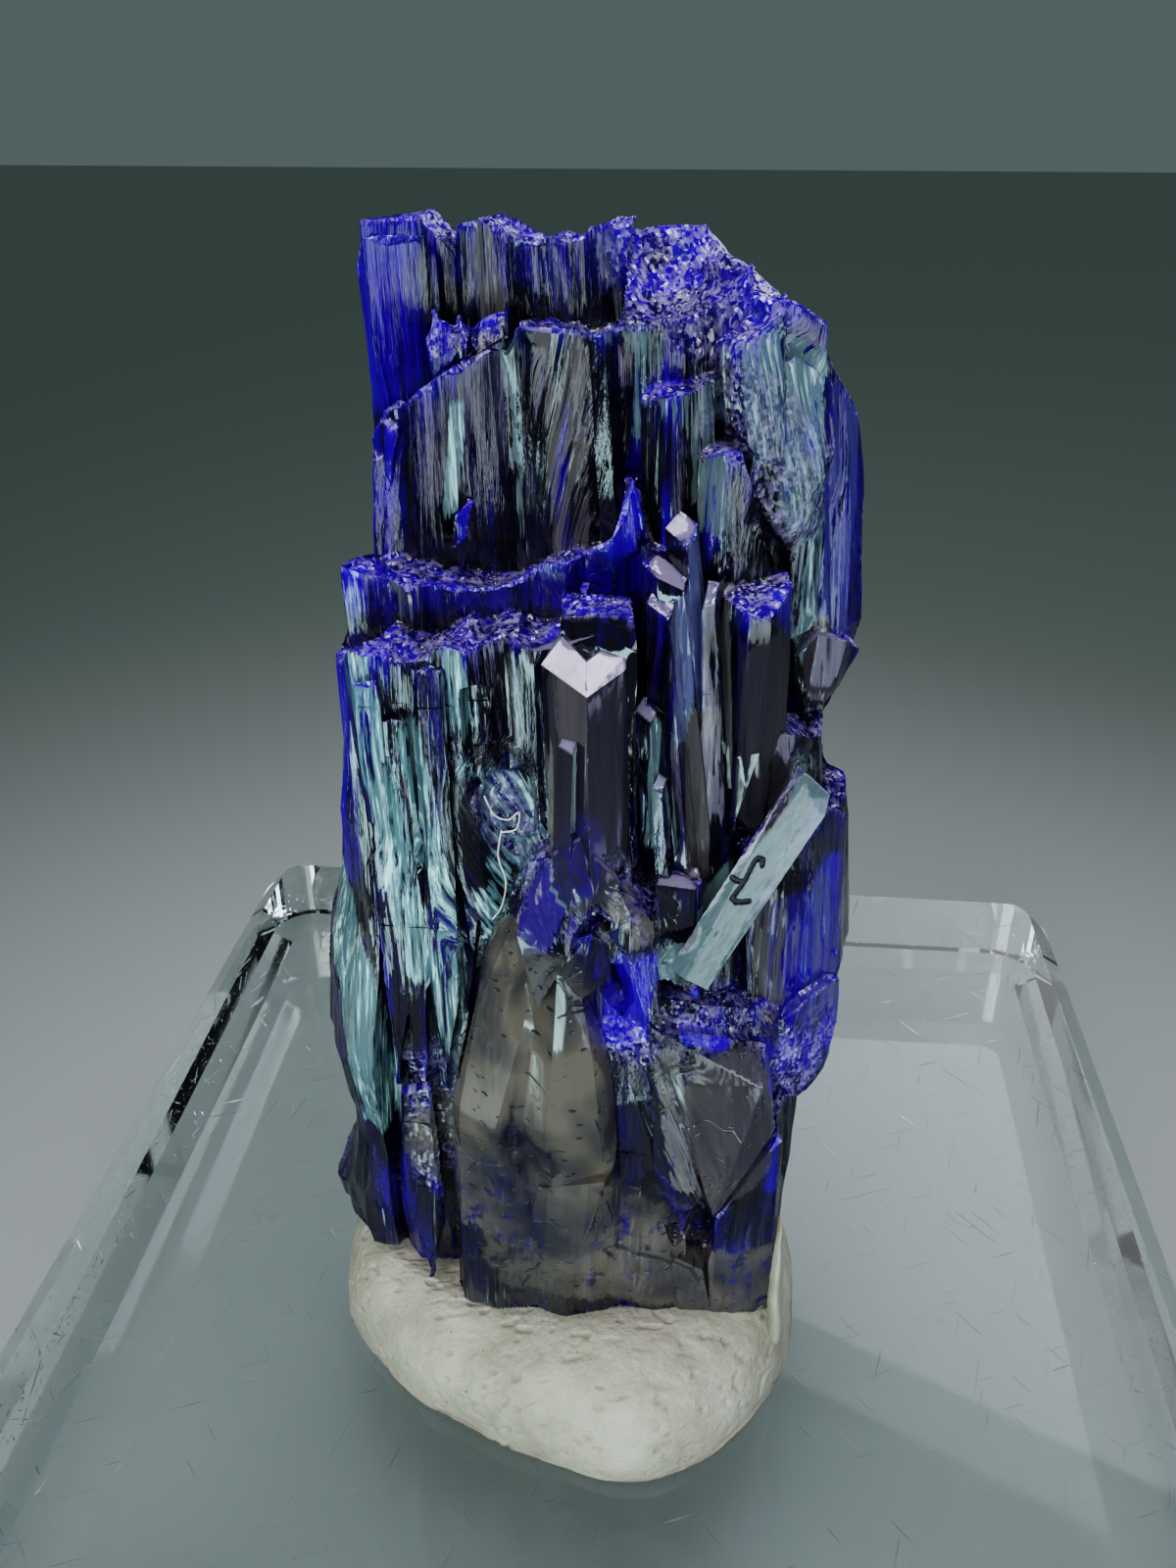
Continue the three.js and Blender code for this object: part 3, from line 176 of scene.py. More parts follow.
def near(points, start, end, radius, depth=1.0):
    """1 on the line from start to end, falling smoothly to 0 at the radius. depth says how much a distance
    away from the viewer counts."""
    start, end = np.array(start, float), np.array(end, float)
    line = end - start
    t = np.clip((points - start) @ line / max(line @ line, 1e-9), 0, 1)
    away = (points - start - t[:, None] * line) * [1, depth, 1]
    return 1 - eased(np.linalg.norm(away, axis=1), 0.55 * radius, radius)


# Meshes

def crossed(p, q):
    """The area between two rows of level directions, above 0 where q is to the left of p."""
    return p[:, 0] * q[:, 1] - p[:, 1] * q[:, 0]


def unfolded(triangles):
    """The triangles whose three corners are three points."""
    return triangles[(triangles != np.roll(triangles, 1, axis=1)).all(axis=1)]


def renumbered(faces):
    """The points that the faces use, and the faces counted in these."""
    used, index = np.unique(faces, return_inverse=True)
    return used, index.reshape(faces.shape)


def triangles_of(mesh):
    """The numbers of the points of each triangle of a mesh."""
    mesh.calc_loop_triangles()
    corners = np.empty(3 * len(mesh.loop_triangles), np.int32)
    mesh.loop_triangles.foreach_get("vertices", corners)
    return corners.reshape(-1, 3)


def welded(node):
    """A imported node's corner points and triangles, with corners at one place made one."""
    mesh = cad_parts[node].data
    places = np.empty(3 * len(mesh.vertices), np.float32)
    mesh.vertices.foreach_get("co", places)
    places = places.reshape(-1, 3).astype(float) / MM
    _, first, index = np.unique(np.round(places, 4), axis=0, return_index=True, return_inverse=True)
    return places[first], unfolded(index.ravel()[triangles_of(mesh)])


def unit(directions):
    """Rows of directions brought to length 1."""
    return directions / np.maximum(np.linalg.norm(directions, axis=1), 1e-12)[:, None]


def corner_normals(points, triangles):
    """Unit normals at the points, each the sum of its triangles' area vectors."""
    a, b, c = (points[triangles[:, i]] for i in range(3))
    area = np.cross(b - a, c - a)
    corners = triangles.ravel()
    return unit(np.stack([np.bincount(corners, np.repeat(side, 3), len(points)) for side in area.T], axis=1))


def cut_sides(points, triangles, values, place):
    """Cuts triangle sides once. place takes the two ends' point numbers and says how far along each side
    the cut falls, or nan for no cut. values ride along with the points."""
    sides = np.stack([triangles, np.roll(triangles, -1, axis=1)], axis=2)
    low, high = sides.min(axis=2), sides.max(axis=2)
    keys, index = np.unique(low * len(points) + high, return_inverse=True)
    start, end = keys // len(points), keys % len(points)
    t = place(start, end)
    cut = ~np.isnan(t)
    middle = np.full(len(keys), -1)
    middle[cut] = len(points) + np.arange(cut.sum())
    start, end, t = start[cut], end[cut], t[cut, None]
    points = np.concatenate([points, points[start] + t * (points[end] - points[start])])
    values = np.concatenate([values, values[start] + t * (values[end] - values[start])])
    return points, divided(triangles, middle[index.reshape(-1, 3)]), values


def cut_level(points, triangles, values, height):
    """Cuts every side that crosses a height where it crosses."""
    def place(start, end):
        below, above = points[start, 2] - height, points[end, 2] - height
        crosses = (below * above < 0) & (np.minimum(abs(below), abs(above)) > 1e-4)
        return np.where(crosses, below / np.where(crosses, below - above, 1), np.nan)
    return cut_sides(points, triangles, values, place)


def halved(points, triangles, values, longest, squeeze):
    """Cuts every side that is too long in half, over and over. squeeze shortens the measured length of
    upright sides, so that triangles stay long and thin along the columns. The first column of values says
    how many times the limit is stretched at a point."""
    while True:
        def place(start, end):
            span = np.linalg.norm((points[end] - points[start]) * [1, 1, squeeze], axis=1)
            limit = longest * 0.5 * (values[start, 0] + values[end, 0])
            return np.where(span > limit, 0.5, np.nan)
        before = len(triangles)
        points, triangles, values = cut_sides(points, triangles, values, place)
        if len(triangles) == before:
            return points, triangles, values


# How a triangle is divided when none to three of its sides are cut. 0, 1 and 2 are its corners, and 3, 4 and
# 5 the middles of the sides that follow them. The first side is cut, and the last one only if all are.
DIVISIONS = [
    [(0, 1, 2)],
    [(0, 3, 2), (3, 1, 2)],
    [(3, 1, 4), (0, 3, 4), (0, 4, 2)],
    [(0, 3, 5), (3, 1, 4), (5, 4, 2), (3, 4, 5)],
]


def divided(triangles, middles):
    """Triangles cut at the middles of their sides, or left where a middle is -1."""
    cut = middles >= 0
    count = cut.sum(axis=1)
    first = np.where(count == 2, (cut.argmin(axis=1) + 1) % 3, cut.argmax(axis=1))
    turn = (first[:, None] + np.arange(3)) % 3
    both = np.concatenate([np.take_along_axis(k, turn, axis=1) for k in (triangles, middles)], axis=1)
    return np.concatenate([both[count == cuts][:, part] for cuts in range(4) for part in DIVISIONS[cuts]])


def solid_grid(points, triangles, pitch, margin):
    """A grid of 1 inside and 0 outside. Upright lines through the grid cross the triangles, and adding the
    crossings up from below marks what is inside. Also gives the grid's lowest corner."""
    low = points.min(axis=0) - margin
    grid = np.zeros(np.ceil((points.max(axis=0) + margin - low) / pitch).astype(int) + 1)
    a, b, c = ((points[triangles[:, i]] - low) / pitch for i in range(3))
    lowest, highest = np.minimum(np.minimum(a, b), c), np.maximum(np.maximum(a, b), c)
    first = np.floor(lowest[:, :2]).astype(int) + 1
    span = int(np.ceil((highest - lowest)[:, :2].max())) + 1
    turn = crossed(b - a, c - a)
    turn = np.where(turn == 0, np.nan, turn)
    for step in np.ndindex(span, span):
        at = first + np.array(step)
        away = at - a[:, :2]
        u, v = crossed(away, c - a) / turn, crossed(b - a, away) / turn
        hit = (u >= 0) & (v >= 0) & (u + v < 1)
        z = np.ceil((a[:, 2] + u * (b - a)[:, 2] + v * (c - a)[:, 2])[hit]).astype(int)
        np.add.at(grid, (*at[hit].T, z), -np.sign(turn[hit]))
    return np.clip(np.cumsum(grid, axis=2), 0, 1), low


def solid_share(grid, low, pitch, places, reach):
    """How much of the space within reach of each place is solid, from 0 to 1: the grid is averaged twice
    along each axis and read between its points."""
    width = max(1, round(reach / pitch))
    for axis in (0, 1, 2) * 2:
        total = np.cumsum(grid, axis=axis)
        grid = (np.roll(total, -width, axis=axis) - np.roll(total, width + 1, axis=axis)) / (2 * width + 1)
    at = (places - low) / pitch
    base = np.floor(at).astype(int)
    return sum(weight * grid[tuple((base + corner).T)] for corner, weight in corner_weights(at - base))


def open_sides(triangles):
    """The sides of the triangles that no other of them shares, each from its first to its second point."""
    sides = np.concatenate([triangles[:, [0, 1]], triangles[:, [1, 2]], triangles[:, [2, 0]]])
    most = triangles.max() + 1
    return sides[~np.isin(sides[:, 0] * most + sides[:, 1], sides[:, 1] * most + sides[:, 0])]


def lid(points, sides):
    """Triangles that close the level outline made of the given sides, facing up. Outlines inside one
    another leave holes."""
    used, sides = renumbered(sides)
    outline = bpy.data.meshes.new("outline")
    outline.from_pydata(points[used] * [1, 1, 0], sides, [])
    form = bmesh.new()
    form.from_mesh(outline)
    bmesh.ops.triangle_fill(form, use_beauty=False, use_dissolve=False, edges=form.edges, normal=(0, 0, 1))
    form.to_mesh(outline)
    form.free()
    faces = triangles_of(outline)
    bpy.data.meshes.remove(outline)
    a, b, c = (points[used[faces[:, i]], :2] for i in range(3))
    down = crossed(b - a, c - a) < 0
    faces[down] = faces[down][:, ::-1]
    return used[faces]


def shown(name, data):
    """A new object in the scene."""
    made = bpy.data.objects.new(name, data)
    bpy.context.scene.collection.objects.link(made)
    return made


def piece(name, points, faces, material, node, attributes=(), sharp=None, stands=True):
    """Puts points in millimetres and faces into a new object at the origin, with the given material, under
    the root body. Unless stands is false, the node's imported part is hidden."""
    mesh = bpy.data.meshes.new(name)
    mesh.from_pydata(points * MM, [], faces)
    mesh.shade_smooth()
    if sharp is not None:
        mesh.set_sharp_from_angle(angle=sharp)
    for label, values in dict(attributes).items():
        flat = values.ndim == 1
        layer = mesh.attributes.new(label, "FLOAT" if flat else "FLOAT_VECTOR", "POINT")
        layer.data.foreach_set("value" if flat else "vector", values.astype(np.float32).ravel())
    mesh.materials.append(material)
    made = shown(name, mesh)
    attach(made, "root")
    if stands:
        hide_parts(node)


# Materials

def fill(made, *values, **named):
    """Sets a shader node's options, which are named in small letters, and its inputs: the first ones in
    their order, others by name with underscores for spaces, or by number as _6. An output is linked to the
    input, and a hex colour is turned to linear."""
    for key, value in [*named.items(), *enumerate(values)]:
        key = str(key).lstrip("_")
        if key[0].islower():
            setattr(made, key, value)
            continue
        socket = made.inputs[int(key) if key.isdigit() else key.replace("_", " ")]
        if isinstance(value, bpy.types.NodeSocket):
            made.id_data.links.new(value, socket)
        else:
            socket.default_value = opaque(value) if isinstance(value, str) else value


def blank(name):
    """A new material, its Principled shader, and the function that adds a node to it."""
    material = bpy.data.materials.new(name)
    material.use_nodes = True
    nodes = material.node_tree.nodes

    def node(kind, *values, out=0, **named):
        """Adds one node with its settings and links, and gives one of its outputs, by number or name. A
        kind in capitals is an operation of the Math node."""
        made = nodes.new("ShaderNode" + ("Math" if kind.isupper() else kind))
        if kind.isupper():
            made.operation = kind
        fill(made, *values, **named)
        return made.outputs[out]

    return material, nodes["Principled BSDF"], node


def stops(colour, *places):
    """Gives the colour ramp that the colour comes from its stops, each a place and a hex colour."""
    elements = colour.node.color_ramp.elements
    while len(elements) < len(places):
        elements.new(0.5)
    for element, (place, code) in zip(elements, places):
        element.position = place
        element.color = opaque(code)
    return colour


# How far gaps between needles and dark faces lean to the side, as a part of the surface direction's length
SIDEWAYS_LEAN = 0.42

# Settings that hold a sum between 0 and 1, and that blend two colours, which are the inputs 6 and 7
HELD = {"use_clamp": True}
BLEND = {"data_type": "RGBA", "out": 2}


def grown_azurite():
    """Azurite, grown as glassy monoclinic columns. Smooth growth faces are so deep a blue that they look
    black or navy; thin edges and fractures are painted vivid ultramarine, as light let through them; bundles
    of fine needles have a painted silky grey, teal or lilac sheen with dark lines between, and painted silver
    glints; the upward ends of calm crystals get a painted pale highlight; broken ledges are granular and
    sparkle; etched faces have a painted warm grey reflection, with dash-shaped etch pits and a few cracks.
    Every rod and grain too fine for the mesh leans its own way, which gives the eye silver streaks beside
    black."""
    material, shader, node = blank("azurite_grown_crystal")
    labels = ("glow", "broken", "etched_with_painted_reflection", "calm", "silk", "tone", "crack", "dark", "ends")
    glow, broken, etched_with_painted_reflection, calm, silk, tone, crack, dark, ends = (
        node("Attribute", attribute_name=label, out="Fac") for label in labels)
    grain = node("Attribute", attribute_name="grain", out="Vector")

    def stretched(width, length):
        """The place on the crystal counted in widths across the columns and lengths along them."""
        return node("Mapping", Vector=grain, Scale=(1 / width, 1 / width, 1 / length))

    def cells(width, length, out="Color", **options):
        """Random numbers, one set to each rod or grain of the given width and length in millimetres, or how
        far the rod's or grain's middle or edge is."""
        return node("TexVoronoi", stretched(width, length), Scale=1.0, out=out, **options)

    def clouds(width, length, detail):
        """Cloudy noise whose clouds have the given width and length in millimetres."""
        return node("TexNoise", Vector=stretched(width, length), Scale=1.0, Detail=detail, Roughness=0.65)

    # the finest needles and crumbs are drawn 0.08 mm wide, as coarse as they need to be to show
    rods = cells(0.26, 9.0, distance="CHEBYCHEV")
    needles = cells(0.08, 3.5, distance="CHEBYCHEV")
    crumbs = cells(0.08, 0.1)
    apart = [node("SeparateColor", cell).node.outputs for cell in (rods, needles, crumbs)]
    sheer = node("SUBTRACT", 1.0, broken, **HELD)
    rough_grown = node("SUBTRACT", 1.0, calm, **HELD)
    busy = node("MULTIPLY", sheer, rough_grown)
    busy = node("MULTIPLY", busy, node("MULTIPLY_ADD", silk, 0.9, 0.25, **HELD))

    # painted silky sheen of needle bundles, a reflection drawn into the colour, thin in places
    fine = node("MULTIPLY_ADD", clouds(0.07, 2.2, 3.0), 2.4, -1.2)
    broad = node("MULTIPLY_ADD", clouds(0.25, 3.5, 3.0), 2.2, -1.1)
    streaks = node("MULTIPLY", node("ADD", fine, broad), node("MULTIPLY_ADD", calm, -0.75, 1.0))
    full_sheen = node("MULTIPLY_ADD", node("MULTIPLY_ADD", silk, 1.1, streaks), 5.0, -3.2, **HELD)
    sheen = node("MULTIPLY", full_sheen, node("MULTIPLY_ADD", apart[1][1], 0.35, 0.65))

    # each cell leans its own way, and the gaps between needles lean out of the light
    gap = node("MULTIPLY", node("SUBTRACT", 1.0, full_sheen), busy)
    normal = node("NewGeometry", out="Normal")
    for cell, amount, share in ((rods, 0.2, busy), (needles, 0.28, busy), (crumbs, 0.9, broken),
                                (needles, 0.04, sheer)):
        centred = node("VectorMath", cell, (0.5, 0.5, 0.5), operation="SUBTRACT")
        leaning = node("VectorMath", centred, operation="SCALE", Scale=node("MULTIPLY", share, amount))
        normal = node("VectorMath", normal, leaning, operation="ADD")
    lean = node("MULTIPLY_ADD", gap, node("SUBTRACT", 1.0, node("ABSOLUTE", dark)), dark)
    aside = node("CombineXYZ", node("MULTIPLY", lean, SIDEWAYS_LEAN))
    normal = node("VectorMath", normal, aside, operation="ADD")
    normal = node("VectorMath", normal, operation="NORMALIZE")

    # blue: the painted glow of light let through, more by some rods and needles than by others, with azure
    # clouds in it
    mottle = node("ADD", node("MULTIPLY", apart[0][0], 0.3), node("MULTIPLY", apart[1][0], 0.3))
    mottle = node("ADD", mottle, node("MULTIPLY", clouds(0.3, 0.3, 5.0), 0.6))
    reach = node("MULTIPLY_ADD", broken, 0.32, node("MULTIPLY_ADD", mottle, 0.8, -0.46))
    reach = node("ADD", glow, reach, **HELD)
    blue = stops(node("ValToRGB", reach), (0.05, "#040314"), (0.3, "#090450"), (0.6, "#170899"),
                 (0.95, "#2a1bd8"))
    azure = node("MULTIPLY", node("MULTIPLY_ADD", clouds(0.9, 1.6, 3.0), 6.0, -3.2, **HELD), glow)
    blue = node("Mix", node("MULTIPLY", azure, 0.6, **HELD), _6=blue, _7="#1746c4", **BLEND)
    # painted sheen: grey, teal and lilac reflection colours laid over the blue where the needles shine
    silky = stops(node("ValToRGB", tone), (0.0, "#322f3a"), (0.25, "#6b6562"), (0.5, "#65777b"),
                  (0.72, "#5f868e"), (0.8, "#5f6793"), (0.9, "#454d94"), (1.0, "#352f80"))
    colour = node("Mix", node("MULTIPLY", sheen, sheer), _6=blue, _7=silky, **BLEND)
    # painted glints: silver reflections along the tops of pale teal needles
    teal = node("ABSOLUTE", node("SUBTRACT", tone, 0.67))
    teal = node("MULTIPLY_ADD", teal, -12.0, 1.6, **HELD)
    glint = node("MULTIPLY_ADD", streaks, 3.2, node("MULTIPLY_ADD", silk, 1.6, -1.9), **HELD)
    glint = node("MULTIPLY", node("MULTIPLY", glint, teal), node("MULTIPLY", full_sheen, sheer))
    colour = node("Mix", glint, _6=colour, _7="#d2ecec", **BLEND)
    # painted highlight: the upward ends of calm single crystals are paler, as if they caught the light from
    # above
    colour = node("Mix", node("MULTIPLY", ends, 0.8), _6=colour, _7="#9a95b2", **BLEND)
    # pale grains, where a broken surface scatters white light
    pale = node("MULTIPLY_ADD", clouds(0.4, 0.4, 3.0), 4.0, -2.6)
    pale = node("MULTIPLY_ADD", apart[2][1], 1.6, pale, **HELD)
    pale = node("MULTIPLY", pale, node("MULTIPLY", broken, 0.7))
    colour = node("Mix", pale, _6=colour, _7="#b7b2e2", **BLEND)
    # painted warm grey reflection on the etched faces, broken up in spots, and their etch pits, dark dashes
    # 0.15 mm long
    reflection_level = node("MULTIPLY_ADD", etched_with_painted_reflection, 5.0, node("MULTIPLY_ADD", calm, 2.5, 0.7))
    painted_warm_reflection = node("MULTIPLY_ADD", clouds(0.4, 0.5, 5.0), -8.0, reflection_level, **HELD)
    painted_warm_reflection = node("MULTIPLY", painted_warm_reflection, node("MULTIPLY", etched_with_painted_reflection, 0.92, **HELD))
    warm = stops(node("ValToRGB", clouds(2.2, 2.6, 2.5)), (0.34, "#1d1c25"), (0.5, "#4a4542"),
                 (0.64, "#6e655a"))
    colour = node("Mix", painted_warm_reflection, _6=colour, _7=warm, **BLEND)
    dash = node("MULTIPLY", node("MULTIPLY_ADD", cells(0.42, 0.2, "Distance"), -14.0, 3.2, **HELD),
                node("MULTIPLY_ADD", clouds(0.6, 0.6, 2.0), 8.0, -3.3, **HELD))
    split = cells(1.6, 1.1, "Distance", feature="DISTANCE_TO_EDGE")
    split = node("MULTIPLY", node("MULTIPLY_ADD", split, -60.0, 1.6, **HELD),
                 node("MULTIPLY_ADD", clouds(1.1, 1.1, 1.0), 9.0, -5.0, **HELD))
    marks = node("MAXIMUM", node("MULTIPLY", dash, etched_with_painted_reflection), node("MULTIPLY", split, etched_with_painted_reflection))
    marks = node("MAXIMUM", marks, node("MULTIPLY_ADD", crack, 3.0, -0.8, **HELD))
    colour = node("Mix", marks, _6=colour, _7="#050318", **BLEND)

    rough = node("ADD", node("MULTIPLY_ADD", broken, 0.08, 0.1), node("MULTIPLY", etched_with_painted_reflection, 0.1))
    rough = node("ADD", rough, node("MULTIPLY", node("MULTIPLY", sheen, busy), 0.15))
    rough = node("ADD", rough, node("MULTIPLY", marks, 0.4), **HELD)
    height = node("MULTIPLY", node("MULTIPLY", streaks, rough_grown), sheer)
    ridges = node("Bump", Strength=0.8, Distance=0.011 * MM, Height=height, Normal=normal)
    dents = node("Bump", invert=True, Strength=1.0, Distance=0.03 * MM, Height=marks, Normal=ridges)
    fill(shader, Base_Color=colour, Roughness=rough, IOR=1.75, Normal=dents)
    return material


def kneaded_tack():
    """Mineral tack, a kneaded cream-white putty: soft matt, slightly cloudy, with a few rust specks and
    dark pores picked up from the stone."""
    material, shader, node = blank("mineral_tack_kneaded_putty")
    place = node("TexCoord", out="Object")
    cloudy = node("TexNoise", Vector=place, Scale=0.5 / MM, Detail=5.0, Roughness=0.6)
    colour = stops(node("ValToRGB", cloudy), (0.3, "#9c9684"), (0.5, "#bab4a4"), (0.7, "#cbc6b8"))
    for size, share, reach, code in ((0.9, 0.32, 0.1, "#8a4a12"), (0.45, 0.25, 0.11, "#7d766a")):
        speck = node("TexVoronoi", place, Scale=1 / (size * MM))
        near_middle = node("MapRange", speck, From_Min=reach, From_Max=0.3 * reach)
        chosen = node("LESS_THAN", node("SeparateColor", speck.node.outputs["Color"]), share)
        colour = node("Mix", node("MULTIPLY", near_middle, chosen), _6=colour, _7=code, **BLEND)
    pores = node("TexNoise", Vector=place, Scale=5.0 / MM, Detail=4.0, Roughness=0.6)
    pores = node("Bump", Strength=0.9, Distance=0.07 * MM, Height=pores)
    fill(shader, Base_Color=colour, Roughness=0.5, IOR=1.48, Normal=pores)
    return material


def cotton_lint():
    """A cotton fibre picked up as dust: white and matt, a little yellowed in places."""
    material, shader, node = blank("cotton_lint_fibre")
    mottled = node("TexNoise", Vector=node("TexCoord", out="Object"), Scale=3.0 / MM, Detail=2.0)
    colour = stops(node("ValToRGB", mottled), (0.35, "#c9c4b8"), (0.6, "#f4f2ee"))
    fill(shader, Base_Color=colour, Roughness=0.6, IOR=1.53)
    return material


# The ways that the scuffs on the block run, in radians
SCUFF_TURNS = (0.4, 1.3, 2.3)


def polished_acrylic():
    """Cast acrylic, sawn and flame-polished: clear as water, with faint scuffs from handling, drawn 0.1 mm
    wide so that they show."""
    material, shader, node = blank("acrylic_cast_polished")
    place = node("TexCoord", out="Object")
    scuffs = None
    for turn in SCUFF_TURNS:
        along = node("Mapping", vector_type="TEXTURE", Vector=place, Rotation=(0, 0, turn),
                     Scale=(2.5 * MM, 0.1 * MM, 0.5 * MM))
        lines = node("TexNoise", Vector=along, Scale=1.0, Detail=1.0)
        lines = node("MapRange", lines, From_Min=0.73, From_Max=0.8)
        scuffs = lines if scuffs is None else node("MAXIMUM", scuffs, lines)
    rough = node("MapRange", scuffs, To_Min=0.03, To_Max=0.22)
    dents = node("Bump", invert=True, Strength=0.6, Distance=0.02 * MM, Height=scuffs)
    fill(shader, Base_Color="#f4fbfa", Roughness=rough, IOR=1.49, Transmission_Weight=1.0, Normal=dents)
    return material


def matt_floor():
    """Pale studio paper under the block."""
    material, shader, _ = blank("studio_paper_pale")
    fill(shader, Base_Color="#b4b8b6", Roughness=0.8)
    return material


# The crystal

# The longest side of a triangle, how much less upright sides count, how many times longer sides are behind,
# and the pitch of the grid that tells what is inside
FINEST = 0.085
UPRIGHT_SQUEEZE = 0.25
COARSER_BEHIND = 2.2
GRID_PITCH = 0.16

# The relief, in widths and lengths: columns, the rods on them, chips where it is broken and the grit on them.
# Sides that meet at more than the sharp edge's angle look sharp.
COLUMN = np.array([0.55, 0.55, 5.0])
ROD = np.array([0.22, 0.22, 1.8])
CHIP = 0.42
GRIT = 0.17
SHARP_EDGE = math.radians(28)

# Lines along which single crystals lie, in the cluster's frame
BLADE = (4.8, -3.3, 16.3), (2.1, -4.9, 12.8)
FOOT_FACET = (3.1, -4.8, 9.6), (3.4, -4.8, 7.2)
LOW_FACET = (2.3, -4.8, 4.3), (2.8, -4.7, 2.8)
SMALL_PRISM = (0.7, -4.5, 14.6), (1.1, -4.6, 13.9)
PRISM_ENDS = ((1.7, -2.3, 21.7), (1.6, -2.6, 21.0), (1.6, -3.1, 20.8), (2.6, -1.8, 20.4), (1.2, -3.4, 18.3),
              (1.4, -3.5, 17.0), (1.2, -3.6, 15.1))

# Places on the cluster are given as one end, other end, radius and strength.
# Crystals with plain smooth faces
CALM_PLACES = [
    ((-0.4, -4, 19.7), (0.4, -3.9, 19.6), 1.1, 1),
    ((0, -4.2, 19.4), (0.1, -4.6, 15.6), 1.1, 1),
    *[(end, end, 0.5, 1) for end in PRISM_ENDS],
    ((1.8, -2.7, 20.6), (2.4, -3.4, 14), 1.1, 0.75),
    ((3.4, -3, 19), (3.5, -2.8, 16.2), 1.2, 1),
    (*BLADE, 0.9, 1),
    ((5.1, -0.9, 18.1), (5.2, -0.8, 18.8), 0.9, 0.8),
    ((-1.6, -4.8, 13.2), (-2.6, -5, 9), 1.1, 0.95),
    ((-0.7, -5.5, 13.3), (-0.8, -5.6, 8.8), 1, 0.95),
    ((-0.1, -5.4, 12.3), (0.1, -5.5, 8), 0.8, 0.9),
    ((-0.4, -5.5, 7.4), (-0.6, -5.3, 4.8), 0.9, 0.95),
    (*FOOT_FACET, 1.4, 0.95),
    (*LOW_FACET, 0.8, 0.8),
    ((-5, -3, 14), (-4.9, -3.4, 9.4), 0.9, 0.2),
    ((-0.7, -5.1, 15.2), (-1.1, -5.2, 14.2), 0.7, 0.75),
    ((1.8, -4.4, 14.9), (1.9, -4.5, 13.9), 0.6, 0.9),
    (*SMALL_PRISM, 0.5, 0.7),
    ((4.4, -2.9, 13), (5.3, -2.9, 10.6), 1.2, 0.6),
]

# Broken and crinkled places beside the ledges, which are broken everywhere
ROUGH_PLACES = [
    ((5.1, -3.1, 9.4), (4.5, -3.5, 8.3), 1.2, 1),
    ((5.4, -2.9, 10), (5.5, -2.6, 9.4), 0.8, 0.9),
    ((-0.1, -4.9, 16.1), (-0.1, -4.9, 15.6), 0.4, 0.6),
    ((0.6, -4.3, 15.1), (1.2, -4.6, 14.7), 0.3, 1),
    ((-1.8, -3.4, 16.4), (-1.3, -3.8, 15.3), 0.75, 0.45),
    ((3.2, -1.1, 23.5), (4.5, -0.8, 21.8), 1.2, 0.5),
    ((1.2, 2, 26.4), (2.7, -0.1, 25.4), 1.5, 1),
    ((-3.5, -3.7, 9.7), (-3.5, -4.2, 6.5), 0.8, 0.6),
    ((2.2, -4.1, 11.3), (3.6, -3.7, 10.8), 0.6, 0.9),
    ((0.5, -4.5, 11.2), (1.2, -4.6, 10.8), 0.5, 0.9),
]

# Places painted vivid blue, as light that comes through
GLOWING_PLACES = [
    ((-4.4, 1, 26.5), (-4.3, 0.9, 24), 1.3, 0.6),
    ((-2.6, 1, 26.5), (0.6, 1.2, 26.3), 1.2, 0.35),
    ((3.6, 0.4, 25.4), (5.6, 0.8, 21), 1.5, 0.35),
    ((5.4, 0.2, 21.2), (5.7, 0.3, 17.6), 1, 0.4),
    ((-4.3, -0.2, 23.2), (-4.3, -0.4, 20.8), 0.8, 0.5),
    ((-4.2, -1.9, 20.4), (1, -2.1, 20.6), 0.9, 0.4),
    ((0.8, -1.7, 22.3), (0.6, -1.8, 21.3), 0.6, 0.9),
    ((-5, -2.7, 19), (-5.2, -2.6, 14.6), 1, 0.55),
    ((4.6, -2.8, 13), (4.8, -2.9, 10.8), 0.8, 0.45),
    ((-2.6, -4.9, 7), (3.6, -4.8, 3.4), 1.6, 0.3),
    ((5.5, -2.1, 13.4), (5.8, -2.3, 9.6), 0.9, 0.6),
    ((4.6, -3.2, 10.4), (5.6, -2.6, 9.4), 1.2, 0.3),
    ((1, -4.3, 12.8), (0.8, -4.4, 11.3), 0.7, 0.8),
    ((-0.1, -4.9, 16.1), (-0.3, -5, 15.4), 0.8, 0.6),
    ((-4.9, -3.8, 5.4), (-4.2, -4, 3.2), 1.1, 0.3),
    ((4.6, -4.3, 7.4), (4.6, -4.4, 6.4), 0.6, 0.6),
    ((2.2, -4.4, 11), (2.9, -4.2, 10.6), 0.35, 0.9),
    ((4.2, -3.9, 10), (4.1, -4, 9.2), 0.5, 0.8),
]

# Faces with etch pits and a painted warm grey reflection
ETCHED_WITH_REFLECTION_PLACES = [
    ((-1.6, -4.8, 13.2), (-2.6, -5, 9.6), 1.4, 1),
    ((-0.7, -5.5, 13), (-0.8, -5.6, 9.6), 1.1, 1),
    ((-0.2, -5.4, 12.4), (0.1, -5.5, 8.4), 1.1, 1),
    ((-2.9, -4.9, 7.6), (1, -4.9, 5), 2.4, 0.93),
    ((-1.2, -4.9, 4.6), (4, -4.6, 3.2), 1.8, 0.9),
    (*FOOT_FACET, 1.7, 0.35),
    ((1.7, -4.8, 10.4), (2.2, -5.2, 7), 0.8, 0.5),
]
